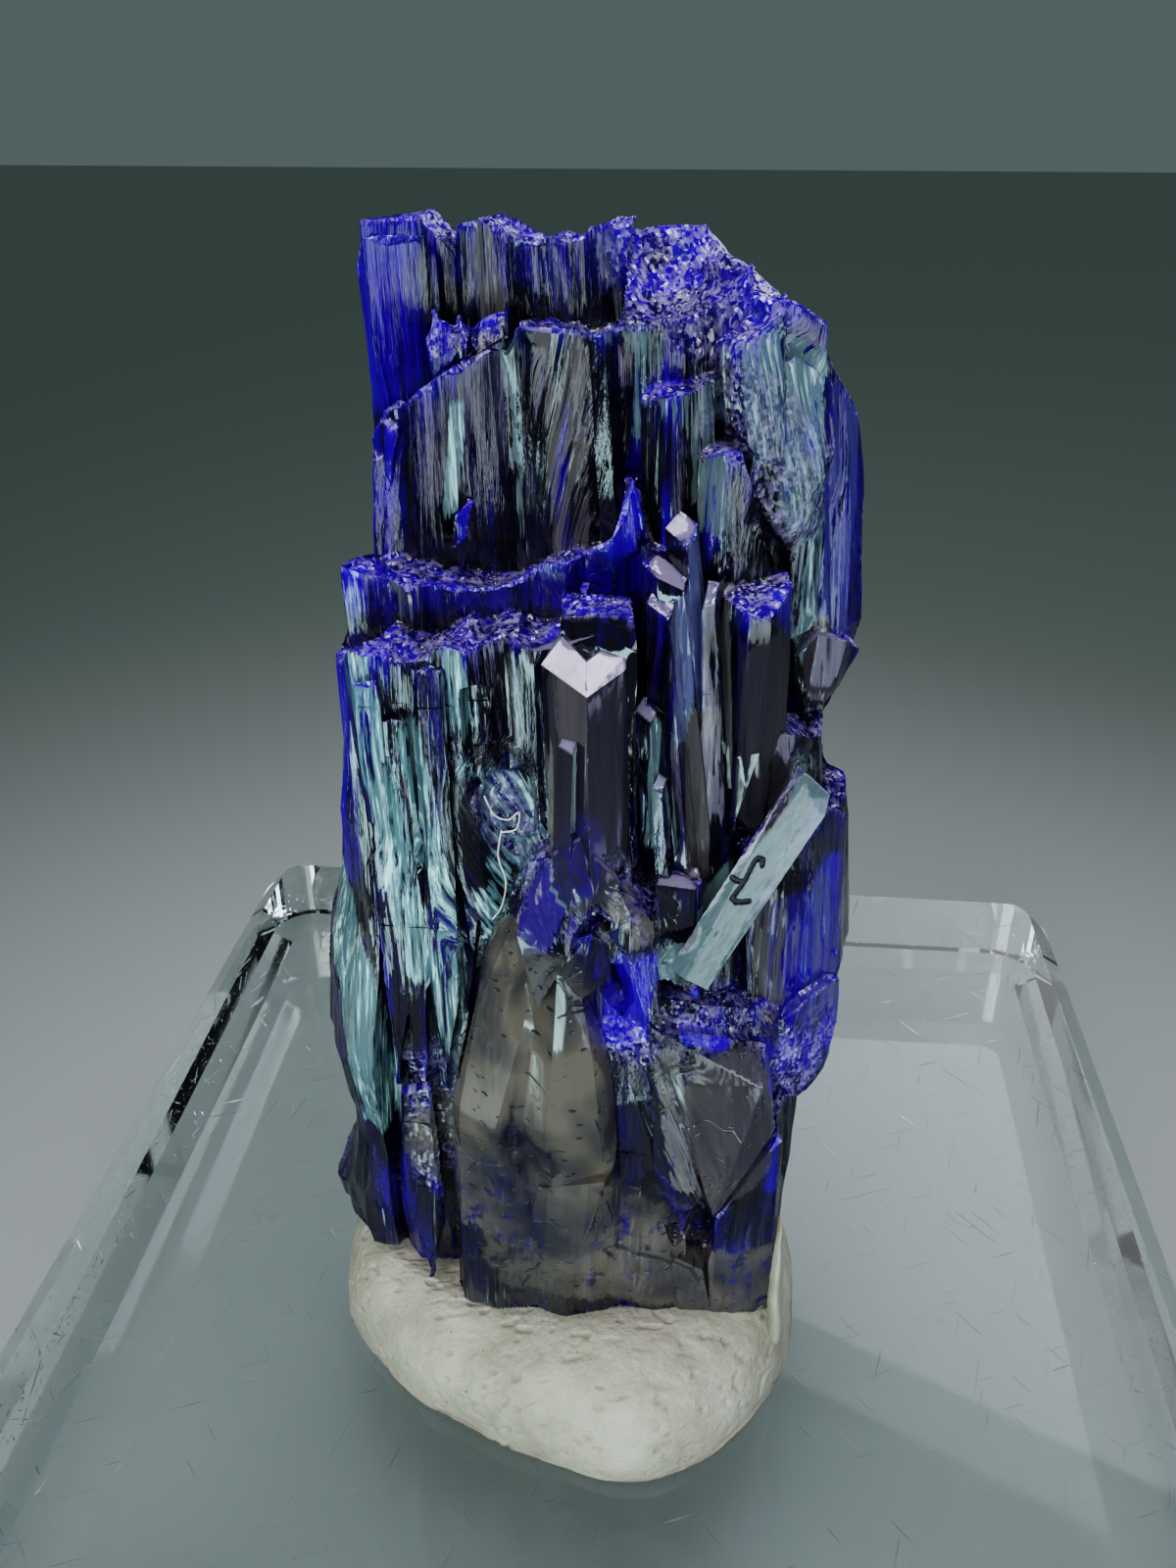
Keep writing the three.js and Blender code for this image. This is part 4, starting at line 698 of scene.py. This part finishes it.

# Needle bundles with a painted silky sheen, a reflection drawn into the colour: ends, radius, strength and
# tone. Tone runs from dark purple-grey at 0 over warm grey at 0.25, teal-grey at 0.5 and pale teal at 0.72 to
# lilac-blue at 1.
SILKY_PLACES = [
    # strips at the left
    ((-4.5, -3.6, 19.4), (-4, -3.8, 16.4), 0.5, 0.85, 0.72),
    ((-4, -3.8, 16.4), (-3.5, -4, 12.4), 0.5, 0.85, 0.72),
    ((-3.5, -3.6, 18), (-3.2, -3.9, 15.8), 0.38, 0.85, 0.72),
    ((-3.2, -3.9, 15.8), (-2.8, -4.2, 12.3), 0.42, 0.8, 0.66),
    ((-2.7, -3.4, 19.7), (-2.4, -3.7, 18), 0.42, 0.7, 0.7),
    ((-2.4, -3.7, 17.4), (-2.1, -4.3, 12.9), 0.3, 0.6, 0.7),
    ((-3, -3.9, 12), (-3.1, -4.2, 8.6), 0.5, 0.75, 0.6),
    ((-5.6, -2.2, 13.3), (-5.2, -3.3, 11.2), 0.9, 1, 0.68),
    ((-5.2, -3.3, 11.2), (-4.9, -3.5, 7.6), 0.8, 0.9, 0.62),
    # broken patch at the middle left
    ((-1.9, -3.4, 16.5), (-1.2, -3.7, 15.2), 0.8, 0.8, 0.74),
    ((-1.9, -3.7, 14.8), (-2, -4.2, 13.4), 0.5, 0.75, 0.7),
    ((-1.1, -3.2, 19.4), (-1, -3.5, 16.6), 0.28, 0.7, 0.5),
    # upper rows
    ((-2.55, -0.3, 23.5), (-2.8, -0.37, 21.4), 0.2, 1.1, 0.66),
    ((-1.5, -0.3, 24.6), (-1.5, -0.35, 20.9), 0.25, 0.8, 0.5),
    ((-0.5, -0.3, 24.8), (-0.3, -0.35, 20.6), 0.6, 0.8, 0.2),
    ((1.1, -0.3, 24.8), (1.1, -0.3, 23), 0.35, 0.8, 0.55),
    ((0.9, -0.6, 24.9), (2.2, -0.9, 23.6), 0.8, 0.75, 0.52),
    ((2.4, -1.2, 23.3), (2.5, -1.5, 21.6), 0.5, 0.95, 0.5),
    ((3.3, -0.9, 25.2), (3.7, -0.9, 23), 0.8, 0.85, 0.62),
    ((4.2, -0.7, 24.2), (4.4, -0.8, 21.6), 0.75, 1, 0.6),
    ((5.3, 0.3, 23.6), (5.3, 0, 18.4), 0.6, 0.9, 0.9),
    ((4.6, -0.4, 21.4), (4.7, -0.6, 18.6), 0.55, 0.8, 0.62),
    ((3.5, -1.6, 21.4), (3.6, -1.8, 19.4), 0.6, 0.55, 0.4),
    ((-5, 0.9, 26.4), (-4.9, 0.6, 22), 0.35, 0.7, 0.9),
    ((-2.1, 1, 26.5), (-1.9, 0.8, 24.8), 0.45, 0.8, 0.3),
    ((-1.1, 1, 26.3), (-0.5, 0.8, 25.2), 0.5, 0.55, 0.85),
    ((0.5, 0.9, 26.2), (0.9, 0.8, 25), 0.5, 0.7, 0.4),
    ((1.3, 1.2, 26.2), (1.5, 0.8, 25), 0.45, 0.75, 0.2),
    # columns behind and the prisms
    ((-3.6, -2.2, 20.4), (-3.4, -2.6, 19), 0.5, 0.5, 0.4),
    ((0.3, -2.4, 20.6), (0.6, -2.6, 19.4), 0.35, 0.6, 0.45),
    ((2.1, -2.3, 21.4), (2.2, -2.7, 18), 0.4, 0.95, 0.8),
    ((2.2, -2.9, 18), (2.2, -3.4, 14.6), 0.5, 0.95, 0.12),
    ((1.9, -3, 20.4), (1.9, -3.4, 17.8), 0.28, 0.95, 0.8),
    ((2.8, -2, 20.2), (2.8, -2.6, 16), 0.35, 0.9, 0.3),
    ((1.3, -3.5, 18), (1.3, -3.7, 15.4), 0.22, 1, 0.52),
    ((0, -4.4, 19.2), (0, -4.8, 15.4), 1, 1.2, 0),
    ((-0.6, -3.9, 18.6), (-0.6, -4.2, 15.6), 0.25, 1, 0.3),
    ((3.7, -2.8, 19), (3.7, -2.8, 16), 0.85, 1.2, 0.02),
    ((5.1, -0.9, 18.6), (5.2, -0.8, 17.8), 0.7, 1.2, 0.05),
    # blade, right columns, facets of the foot
    (*BLADE, 0.9, 1.2, 0.52),
    ((4, -3.1, 13.4), (4.2, -3.2, 10.8), 0.55, 0.8, 0.12),
    ((5.2, -2.4, 13.4), (5.4, -2.6, 10.4), 0.6, 0.75, 0.9),
    ((5, -3.2, 9.3), (4.5, -3.5, 8.4), 0.8, 0.6, 0.85),
    (*FOOT_FACET, 1.3, 1.1, 0.06),
    ((1.7, -4.8, 10.6), (2.2, -5.3, 7.4), 0.42, 0.95, 0.3),
    ((-0.4, -5.5, 7.6), (-0.6, -5.3, 4.9), 0.6, 1.1, 0.3),
    (*LOW_FACET, 0.7, 1, 0.28),
    ((0.4, -5.2, 6.8), (1.4, -5, 3.4), 0.6, 0.6, 0.2),
    ((1.8, -4.4, 14.7), (1.9, -4.5, 13.9), 0.6, 1, 1),
    ((-0.6, -5, 15.3), (-1.1, -5.2, 14.2), 0.6, 0.9, 1),
    (*SMALL_PRISM, 0.5, 0.9, 0.2),
]

# Faces that lean out of the light, to the right or, below 0, to the left. They look black at full strength
# and keep their painted sheen below 0.8.
DARK_PLACES = [
    ((-1.5, -3.3, 19.2), (-1.4, -3.5, 17.2), 0.6, 1),
    ((-0.9, -3.3, 19.2), (-0.8, -3.6, 16.6), 0.45, 1),
    ((-0.1, -3.4, 20.2), (0.5, -3.5, 20.1), 0.6, 1),
    ((-4.5, -3.4, 15), (-4.1, -3.8, 10.4), 0.4, 1),
    ((-2.4, -3.6, 16.6), (-2.3, -3.9, 14.6), 0.4, 1),
    ((-3.9, -3.3, 18.6), (-3.8, -3.6, 17.6), 0.25, 1),
    ((-3.3, -0.35, 23.3), (-3.4, -0.4, 20.9), 0.65, 1),
    ((-2, -0.25, 23.9), (-1.9, -0.3, 21), 0.65, 1),
    ((-1.1, -0.3, 24.4), (-1.1, -0.35, 21.2), 0.4, 1),
    ((0.6, -0.3, 24.4), (0.6, -0.3, 21.4), 0.5, 1),
    ((1.7, -0.3, 25), (1.8, -0.3, 23.8), 0.5, 1),
    ((-3.6, 1, 26), (-3.6, 0.9, 24.4), 0.55, 1),
    ((1.3, -1.2, 23), (1.4, -1.6, 21), 0.5, 1),
    ((1, -3.6, 18.8), (1, -3.8, 15.5), 0.35, 1),
    ((-2.9, 1, 25.8), (-3, 0.6, 24.6), 0.35, 1),
    ((-0.9, -5.4, 13.4), (-1, -5.3, 11.7), 0.7, -1),
    ((2, -3.2, 19), (2.5, -3.5, 15.2), 0.45, 0.8),
    ((3.1, -3, 17), (3.1, -3.1, 15.5), 0.45, 0.8),
    ((1.8, -4.4, 14.9), (1.9, -4.5, 13.8), 0.6, 1),
    ((0.95, -4, 19.6), (0.95, -4, 18.4), 0.3, 1),
    ((-1.1, -5.3, 11.4), (-1.1, -5.4, 10.2), 0.22, 0.8),
    ((1.1, -1.7, 18.9), (1.1, -1.7, 17.8), 0.45, 1),
    ((-5, -2.9, 19), (-5.2, -2.8, 15), 0.3, 1),
]

# Places where the grain turns in the plane that faces the viewer: ends, radius and turn in degrees
TURNED_PLACES = [
    ((-1.7, -3.4, 16.2), (-1.8, -4.1, 14), 1.5, 26),
    ((-0.3, -0.9, 24.6), (-0.3, -1.2, 21), 1, -12),
    ((1.9, -4.8, 9.6), (2.3, -5.2, 7.4), 1, 24),
    ((-0.4, -5, 15.8), (-0.6, -5.2, 14.2), 0.9, 18),
    ((0.6, -4.3, 15.1), (1.4, -4.6, 14.3), 0.6, 60),
    ((3.4, -0.8, 24), (4.2, -0.8, 22.2), 1.4, 14),
    (*BLADE, 0.9, -38),
]

# Thin dark cracks and the notch in the blade, each a row of places; how wide and deep their groove is, and
# how far from it the mesh is finer
CRACKS = [
    ((3.44, -3.96, 15.17), (3.21, -4.14, 14.73), (2.98, -4.26, 14.46), (3.08, -4.27, 14.36),
     (3.34, -4.22, 14.35)),
    ((3.44, -3.96, 15.17), (3.51, -3.93, 15.21), (3.61, -3.93, 15.17), (3.6, -3.96, 15.06)),
    ((2.98, -4.11, 14.86), (3.06, -4.14, 14.81), (3.17, -4.13, 14.77)),
]

CRACK_REACH = 0.062
CRACK_DEPTH = 0.06
CRACK_FINE_REACH = 0.32

# Heights at which the finished surface is parted, so that each piece is of a size that exports whole
BAND_HEIGHTS = [8.0, 13.5, 18.5]
BAND_NAMES = ["crystal_foot", "crystal_lower_columns", "crystal_upper_columns", "crystal_crown"]


def strongest(points, places, depth=1.0):
    """The strongest of several soft places at each point, whichever its sign."""
    total = np.zeros(len(points))
    for start, end, radius, strength in places:
        share = strength * near(points, start, end, radius, depth)
        total = np.where(np.abs(share) > np.abs(total), share, total)
    return total


def silk_and_tone(points, patchy):
    """The painted sheen at each point and its tone: of the strongest silky place there, or else a weaker,
    cloudy painted sheen as on the sides that no place names."""
    silk = 0.24 * patchy
    tone = 0.25 + 0.5 * np.clip(0.5 + 0.7 * layered_noise(points * [0.5, 0.5, 0.2], 431, 2), 0, 1)
    for start, end, radius, strength, shade in SILKY_PLACES:
        share = strength * near(points, start, end, radius, 0.5)
        tone = np.where(share > silk, shade, tone)
        silk = np.maximum(silk, share)
    return silk, tone


def turned_grain(points):
    """The place along and across the grain: points turned about the middle of each turned place, by less
    and less towards its rim."""
    grain = points.copy()
    for start, end, radius, turn in TURNED_PLACES:
        angle = math.radians(turn) * near(points, start, end, radius, 0.5)
        middle = (np.array(start) + np.array(end)) / 2
        x, _, z = (grain - middle).T
        grain[:, [0, 2]] = middle[[0, 2]] + np.stack(turned(x, z, angle), axis=1)
    return grain


def crack_share(points, reach):
    """1 on the cracks, falling to 0 at the reach."""
    sides = [side for places in CRACKS for side in zip(places, places[1:])]
    return strongest(points, [(*side, reach, 1) for side in sides], 0.1)


def crystal_cluster():
    """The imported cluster's surface, cut fine and pushed in and out by columns, chips and grains."""
    points, triangles = welded("azurite_crystal")
    local = to_cluster(points)
    normals = corner_normals(local, triangles)
    hidden = eased(normals[:, 1], 0.1, 0.6) * eased(local[:, 1], 0.5, 2.0)
    coarse = (1 + (COARSER_BEHIND - 1) * hidden)[:, None]
    for height in BAND_HEIGHTS:
        local, triangles, coarse = cut_level(local, triangles, coarse, height)
    local, triangles, coarse = halved(local, triangles, coarse, FINEST, UPRIGHT_SQUEEZE)
    beside = 1 - 0.75 * crack_share(local, CRACK_FINE_REACH)[:, None]
    local, triangles, _ = halved(local, triangles, coarse * beside, FINEST, UPRIGHT_SQUEEZE)
    normals = corner_normals(local, triangles)
    grid, low = solid_grid(local, triangles, GRID_PITCH, 3.0)
    close_share, wide_share = (solid_share(grid, low, GRID_PITCH, local, reach) for reach in (0.35, 0.9))

    flat = eased(np.abs(normals[:, 2]), 0.35, 0.75)
    calm = strongest(local, CALM_PLACES)
    rim = eased(0.4 - close_share, 0.0, 0.12) * eased(normals[:, 2], 0.05, 0.35)
    broken = np.clip(np.maximum(flat + 0.6 * rim, strongest(local, ROUGH_PLACES)), 0, 1) * (1 - calm)

    bent = turned_grain(local) + 0.25 * wavering(local * [0.8, 0.8, 0.25], 301)
    columns = roofs(bent / COLUMN, 0.85, 0.7, 11) * COLUMN[0]
    rods = roofs(bent / ROD, 0.8, 0.5, 31) * ROD[0]
    lumps = chips(bent / CHIP, 1.3, 51) * CHIP
    grit = chips(bent / GRIT, 1.3, 71) * GRIT
    smooth_push = (0.22 * (columns - 0.35) + 0.16 * (rods - 0.12)) * (1 - 0.85 * calm)
    broken_push = 0.34 * (lumps - 0.2) + 0.22 * (grit - 0.08)
    push = (1 - broken) * smooth_push + broken * broken_push
    crack = crack_share(local, CRACK_REACH)
    push -= CRACK_DEPTH * crack

    patchy = 0.5 + 0.5 * layered_noise(local * [1.3, 1.3, 0.5], 401, 3)
    above_foot = eased(local[:, 2], 3.0, 6.5)
    # painted light: thin edges, rims and tips get the vivid blue of light let through, and hollows, where the
    # solid closes round, stay dark as painted shade
    edge = eased(0.37 - close_share, 0.0, 0.2) * (0.2 + 0.7 * patchy) * above_foot
    thin = eased(0.44 - wide_share, 0.0, 0.25) * patchy * above_foot
    inner = strongest(local, GLOWING_PLACES) * (0.4 + patchy)
    shafts = eased(layered_noise(local * [2.0, 2.0, 0.3], 441, 2), 0.1, 0.5) * (1 - calm) * above_foot
    inner = np.maximum(inner, shafts * (0.2 + 0.3 * eased(local[:, 2], 18.0, 21.0)))
    glow = np.clip(np.maximum(np.maximum(edge, thin) * (1 - 0.9 * calm), inner), 0, 1)
    # etch pits, and a painted warm grey reflection laid over them
    etched_with_painted_reflection = strongest(local, ETCHED_WITH_REFLECTION_PLACES)
    dark = strongest(local, DARK_PLACES, 0.6)
    silk, tone = silk_and_tone(local, patchy)
    silk *= 1 - eased(np.abs(dark), 0.8, 1.0)
    # painted highlight on calm faces that look up
    ends = eased(normals[:, 2], 0.45, 0.7) * eased(calm, 0.5, 0.9) * (1 - etched_with_painted_reflection)

    row = in_box(from_cluster(local + normals * push[:, None]), "azurite_crystal")
    values = {"glow": glow, "broken": broken, "etched_with_painted_reflection": etched_with_painted_reflection, "calm": calm, "silk": silk,
              "tone": tone, "crack": crack, "dark": dark, "ends": ends, "grain": bent}
    band = np.searchsorted(BAND_HEIGHTS, local[triangles].mean(axis=1)[:, 2])
    lids = [lid(local, open_sides(triangles[band > number])) for number in range(len(BAND_HEIGHTS))]
    lids = [triangles[:0], *lids, triangles[:0]]
    material = grown_azurite()
    for number, name in enumerate(BAND_NAMES):
        faces = np.concatenate([triangles[band == number], lids[number][:, ::-1], lids[number + 1]])
        used, faces = renumbered(faces)
        piece(name, row[used], faces, material, "azurite_crystal",
              {label: value[used] for label, value in values.items()}, SHARP_EDGE)


# Tack and block

TACK_MIDDLE = np.array([-0.4, -1.6])
TACK_WALL = 0.75
TACK_TONGUE = 2.2
TACK_TONGUE_TURN = math.radians(268)
TACK_TONGUE_WIDTH = math.radians(42)
TACK_INNER_RADIUS = 4.5

# The lump's mesh: steps round, rings across the flat underside and top, and rings up the shoulder
TACK_STEPS = 560
TACK_FLAT_RINGS = 30
TACK_SHOULDER_RINGS = 90


def closed_tube(rings):
    """Triangles of a tube given as rings of points, count by steps by 3, whose first and last rings are
    shrunk to a point. The rings run clockwise seen from the tube's end, so that the faces look out. Also
    says which points of the rings are kept."""
    count, steps = rings.shape[:2]
    ring = np.arange(count * steps).reshape(count, steps)
    ring[[0, -1]] = ring[[0, -1], :1]
    beside = np.roll(ring, -1, axis=1)
    a, b, c, d = ring[:-1], beside[:-1], beside[1:], ring[1:]
    halves = [np.stack(corners, axis=2).reshape(-1, 3) for corners in ((a, b, c), (a, c, d))]
    used, triangles = renumbered(unfolded(np.concatenate(halves)))
    return rings.reshape(-1, 3)[used], triangles, used


def packed_outline(angle):
    """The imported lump's reach from its middle at each angle, along its foot, smoothed, with its lowest
    and highest point."""
    points, _ = welded("mineral_tack")
    low, high = points[:, 2].min(), points[:, 2].max()
    x, y = (to_cluster(points)[points[:, 2] < low + 0.2, :2] - TACK_MIDDLE).T
    turn, reach = np.arctan2(y, x) % (2 * np.pi), np.hypot(x, y)
    outer = reach > TACK_INNER_RADIUS
    order = np.argsort(turn[outer])
    outline = np.interp(angle, turn[outer][order], reach[outer][order], period=2 * np.pi)
    smooth = np.exp(-0.5 * (np.arange(-20, 21) / 7) ** 2)
    around = np.concatenate([outline[-20:], outline, outline[:20]])
    return np.convolve(around, smooth / smooth.sum(), "valid"), low, high


def kneaded_lump():
    """The lump as rings round its middle, from the block up over the shoulder to the foot of the crystal.
    A ring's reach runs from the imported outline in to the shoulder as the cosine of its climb, and its
    height is the sine, both a little squared. The shoulder is deepest at the tongue in front."""
    angle = np.linspace(0, 2 * np.pi, TACK_STEPS, endpoint=False)
    outline, low, high = packed_outline(angle)
    apart = (angle - TACK_TONGUE_TURN + np.pi) % (2 * np.pi) - np.pi
    shoulder = outline - TACK_WALL - TACK_TONGUE * np.exp(-0.5 * (apart / TACK_TONGUE_WIDTH) ** 2)

    climb = np.linspace(0, np.pi / 2, TACK_SHOULDER_RINGS)
    roundness = 2 / 1.9
    flat = np.zeros(TACK_FLAT_RINGS)
    under = np.linspace(0, 1, TACK_FLAT_RINGS, endpoint=False)
    over = np.linspace(1, 0, TACK_FLAT_RINGS + 1)[1:]
    across = np.concatenate([flat + 1, np.cos(climb) ** roundness, flat])[:, None]
    height = np.concatenate([flat, np.sin(climb) ** roundness, flat + 1])[:, None]
    inward = np.concatenate([under, np.ones_like(climb), over])[:, None]
    radius = (shoulder + (outline - shoulder) * across) * inward
    x, y = TACK_MIDDLE[0] + radius * np.cos(angle), TACK_MIDDLE[1] + radius * np.sin(angle)
    z = np.broadcast_to(low - BLOCK_TOP + (high - low) * height, x.shape)
    place, triangles, used = closed_tube(np.stack([x, y, z], axis=2))

    dents = 0.16 * layered_noise(place / 1.6, 511, 3)
    wrinkles = -0.03 * eased(layered_noise(place * [1.6, 4.5, 4.5], 521, 3), 0.15, 0.5)
    pores = -0.09 * eased(soft_noise(place * [3.5, 6.0, 6.0], 531), 0.5, 0.8)
    body = used >= TACK_FLAT_RINGS * TACK_STEPS
    push = (dents + wrinkles + pores - 0.05) * body
    row = from_cluster(place + corner_normals(place, triangles) * push[:, None])
    material = kneaded_tack()
    piece("mineral_tack_lump", in_box(row, "mineral_tack"), triangles, material, "mineral_tack")
    pressed_lip(material)


# The lip of tack that was pressed up the right side of the crystal's foot
LIP_FOOT = 1.3
LIP_TOP = 4.75
LIP_OUTSIDE = 5.05
LIP_LEAN = 0.3
LIP_FORWARD = 0.35
LIP_WAVE = 0.06
LIP_THICKNESS = 0.62
LIP_DEPTH = 2.6
LIP_MIDDLE = -3.6


def pressed_lip(material):
    """A thin tongue: rings from its foot to its tip, each an ellipse whose thickness and depth shrink as the
    square root of what is left of the height, and whose outer side leans in."""
    rings, steps = 40, 64
    rise = np.linspace(0, 1, rings)[:, None]
    turn = np.linspace(0, 2 * np.pi, steps, endpoint=False)
    left = np.sqrt(1 - rise)
    half = 0.5 * LIP_THICKNESS * left
    x = LIP_OUTSIDE - LIP_LEAN * rise - half + half * np.cos(turn)
    y = LIP_MIDDLE - LIP_FORWARD * rise + 0.5 * LIP_DEPTH * left * np.sin(turn)
    z = np.broadcast_to(LIP_FOOT + (LIP_TOP - LIP_FOOT) * rise, x.shape)
    places, triangles, _ = closed_tube(np.stack([x, y, z], axis=2))
    places = places + LIP_WAVE * wavering(places * 1.5, 601)
    piece("mineral_tack_lip", from_cluster(places), triangles, material, "mineral_tack")


# A lint fibre caught on the broken patch, as places in the cluster frame, and its thickness
FIBRES = [
    ((-1.72, -3.86, 15.86), (-1.8, -3.98, 15.3), (-1.66, -4.04, 14.72), (-1.76, -4.1, 14.16),
     (-1.96, -4.16, 13.86)),
    ((-2.05, -3.8, 16.62), (-1.86, -3.84, 16.2), (-1.58, -3.84, 16.08), (-1.36, -3.86, 16.26),
     (-1.42, -3.9, 15.9), (-1.74, -3.9, 15.82)),
]
FIBRE_RADIUS = 0.018


def lint_fibre():
    """Thin tubes along smooth curves through the places. Each span is a cubic that leaves a place along the
    line between its neighbours, half as fast as they are apart."""
    span_steps, round_steps = 14, 8
    all_places, all_triangles = [], []
    for route in FIBRES:
        knots = np.array([route[0], *route, route[-1]])
        t = np.linspace(0, 1, span_steps, endpoint=False)[:, None]
        spans = []
        for a, b, c, d in zip(knots, knots[1:], knots[2:], knots[3:]):
            spans.append(0.5 * (2 * b + (c - a) * t + (2 * a - 5 * b + 4 * c - d) * t ** 2
                                + (3 * b - a - 3 * c + d) * t ** 3))
        path = np.concatenate([*spans, knots[-1:]])
        ahead = unit(np.gradient(path, axis=0))
        side = unit(np.cross(ahead, [0, 1, 0]))
        over = np.cross(side, ahead)
        turn = np.linspace(0, 2 * np.pi, round_steps, endpoint=False)[None, :, None]
        thick = FIBRE_RADIUS * np.ones((len(path), 1, 1))
        thick[[0, -1]] = 0
        rings = path[:, None] + thick * (np.cos(turn) * side[:, None] + np.sin(turn) * over[:, None])
        places, triangles, _ = closed_tube(rings)
        all_triangles.append(triangles + sum(len(p) for p in all_places))
        all_places.append(places)
    piece("lint_fibre", from_cluster(np.concatenate(all_places)), np.concatenate(all_triangles),
          cotton_lint(), "mineral_tack", stands=False)


def dress_block():
    """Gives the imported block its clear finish."""
    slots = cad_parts["acrylic_base"].data.materials
    slots.clear()
    slots.append(polished_acrylic())


# Stage

def aimed(thing, place, target):
    """Stands a light or camera at a place and points it at a target, both in millimetres."""
    made = shown(thing.name, thing)
    made.location = Vector(place) * MM
    made.rotation_euler = (Vector(target) - Vector(place)).to_track_quat("-Z", "Y").to_euler()
    return made


def softbox(name, place, target, size, radiance, colour, spread):
    """An area light of a width and height that isn't seen directly. radiance is how bright it looks from
    straight in front: its power over pi times its area, times (tan h - h) / tan h, where h is half the
    spread, because a narrower spread packs the same power into fewer directions."""
    light = bpy.data.lights.new("light_" + name, "AREA")
    light.shape = "RECTANGLE"
    light.size, light.size_y = (side * MM for side in size)
    half = math.radians(spread) / 2
    packed = (math.tan(half) - half) / math.tan(half)
    light.energy = radiance * math.pi * light.size * light.size_y * packed
    light.color = linear(colour)
    light.spread = 2 * half
    aimed(light, place, target).visible_camera = False


def studio():
    """Soft lights round a dim backdrop, the camera at the photo's viewing angle, and a pale floor."""
    # the plainer colour view: the default one turns deep ultramarine to sky blue
    view = bpy.context.scene.view_settings
    view.view_transform = "Filmic"
    view.look = "High Contrast"
    camera = bpy.data.cameras.new("camera")
    camera.sensor_width = SENSOR_WIDTH
    camera.lens = LENS
    camera.clip_start = MM
    ahead = Vector((-math.sin(CAMERA_TURN) * math.cos(CAMERA_PITCH),
                    math.cos(CAMERA_TURN) * math.cos(CAMERA_PITCH), -math.sin(CAMERA_PITCH)))
    bpy.context.scene.camera = aimed(camera, CAMERA_PLACE, Vector(CAMERA_PLACE) + ahead)
    world = bpy.data.worlds.new("dim_backdrop")
    world.use_nodes = True
    world.node_tree.nodes["Background"].inputs["Color"].default_value = opaque("#525e5d")
    bpy.context.scene.world = world
    middle = (0, -4, 20)
    softbox("overhead", (0, -4, 112), middle, (45, 45), 9, "#f6f4ff", 60)
    softbox("front_left", (-10, -44, 7), (-3, -7, 22), (30, 12), 9, "#c4e6ea", 100)
    softbox("left", (-34, -41, 8), middle, (18, 14), 0.7, "#f6f0ea", 100)
    softbox("low_left", (-23, -21, 4.5), (-5, -5, 14), (12, 7), 1.3, "#d0e8ea", 100)
    softbox("front_right", (65, -82, 17), middle, (50, 40), 3.2, "#dcecee", 60)
    softbox("right", (60, -40, 14), middle, (34, 24), 2.2, "#d4daff", 100)
    softbox("low_right", (30, -17, 3), (5, -6, 19), (14, 5), 1.5, "#aab8ff", 100)
    softbox("low_front_right", (26, -28, 4), (-2, -6, 22), (8, 6), 4, "#dcf4f6", 100)
    softbox("front_high", (-25, -85, 75), middle, (80, 60), 5, "#ffffff", 70)
    softbox("back", (30, 60, 60), middle, (50, 50), 3, "#f4f6ff", 80)
    floor = bpy.data.meshes.new("floor")
    corners = np.array([(-1, -1, 0), (1, -1, 0), (1, 1, 0), (-1, 1, 0)]) * FLOOR_REACH
    floor.from_pydata((corners + (0, 0, FLOOR_DROP)) * MM, [], [(0, 1, 2, 3)])
    floor.materials.append(matt_floor())
    shown("floor", floor)


studio()
crystal_cluster()
kneaded_lump()
lint_fibre()
dress_block()
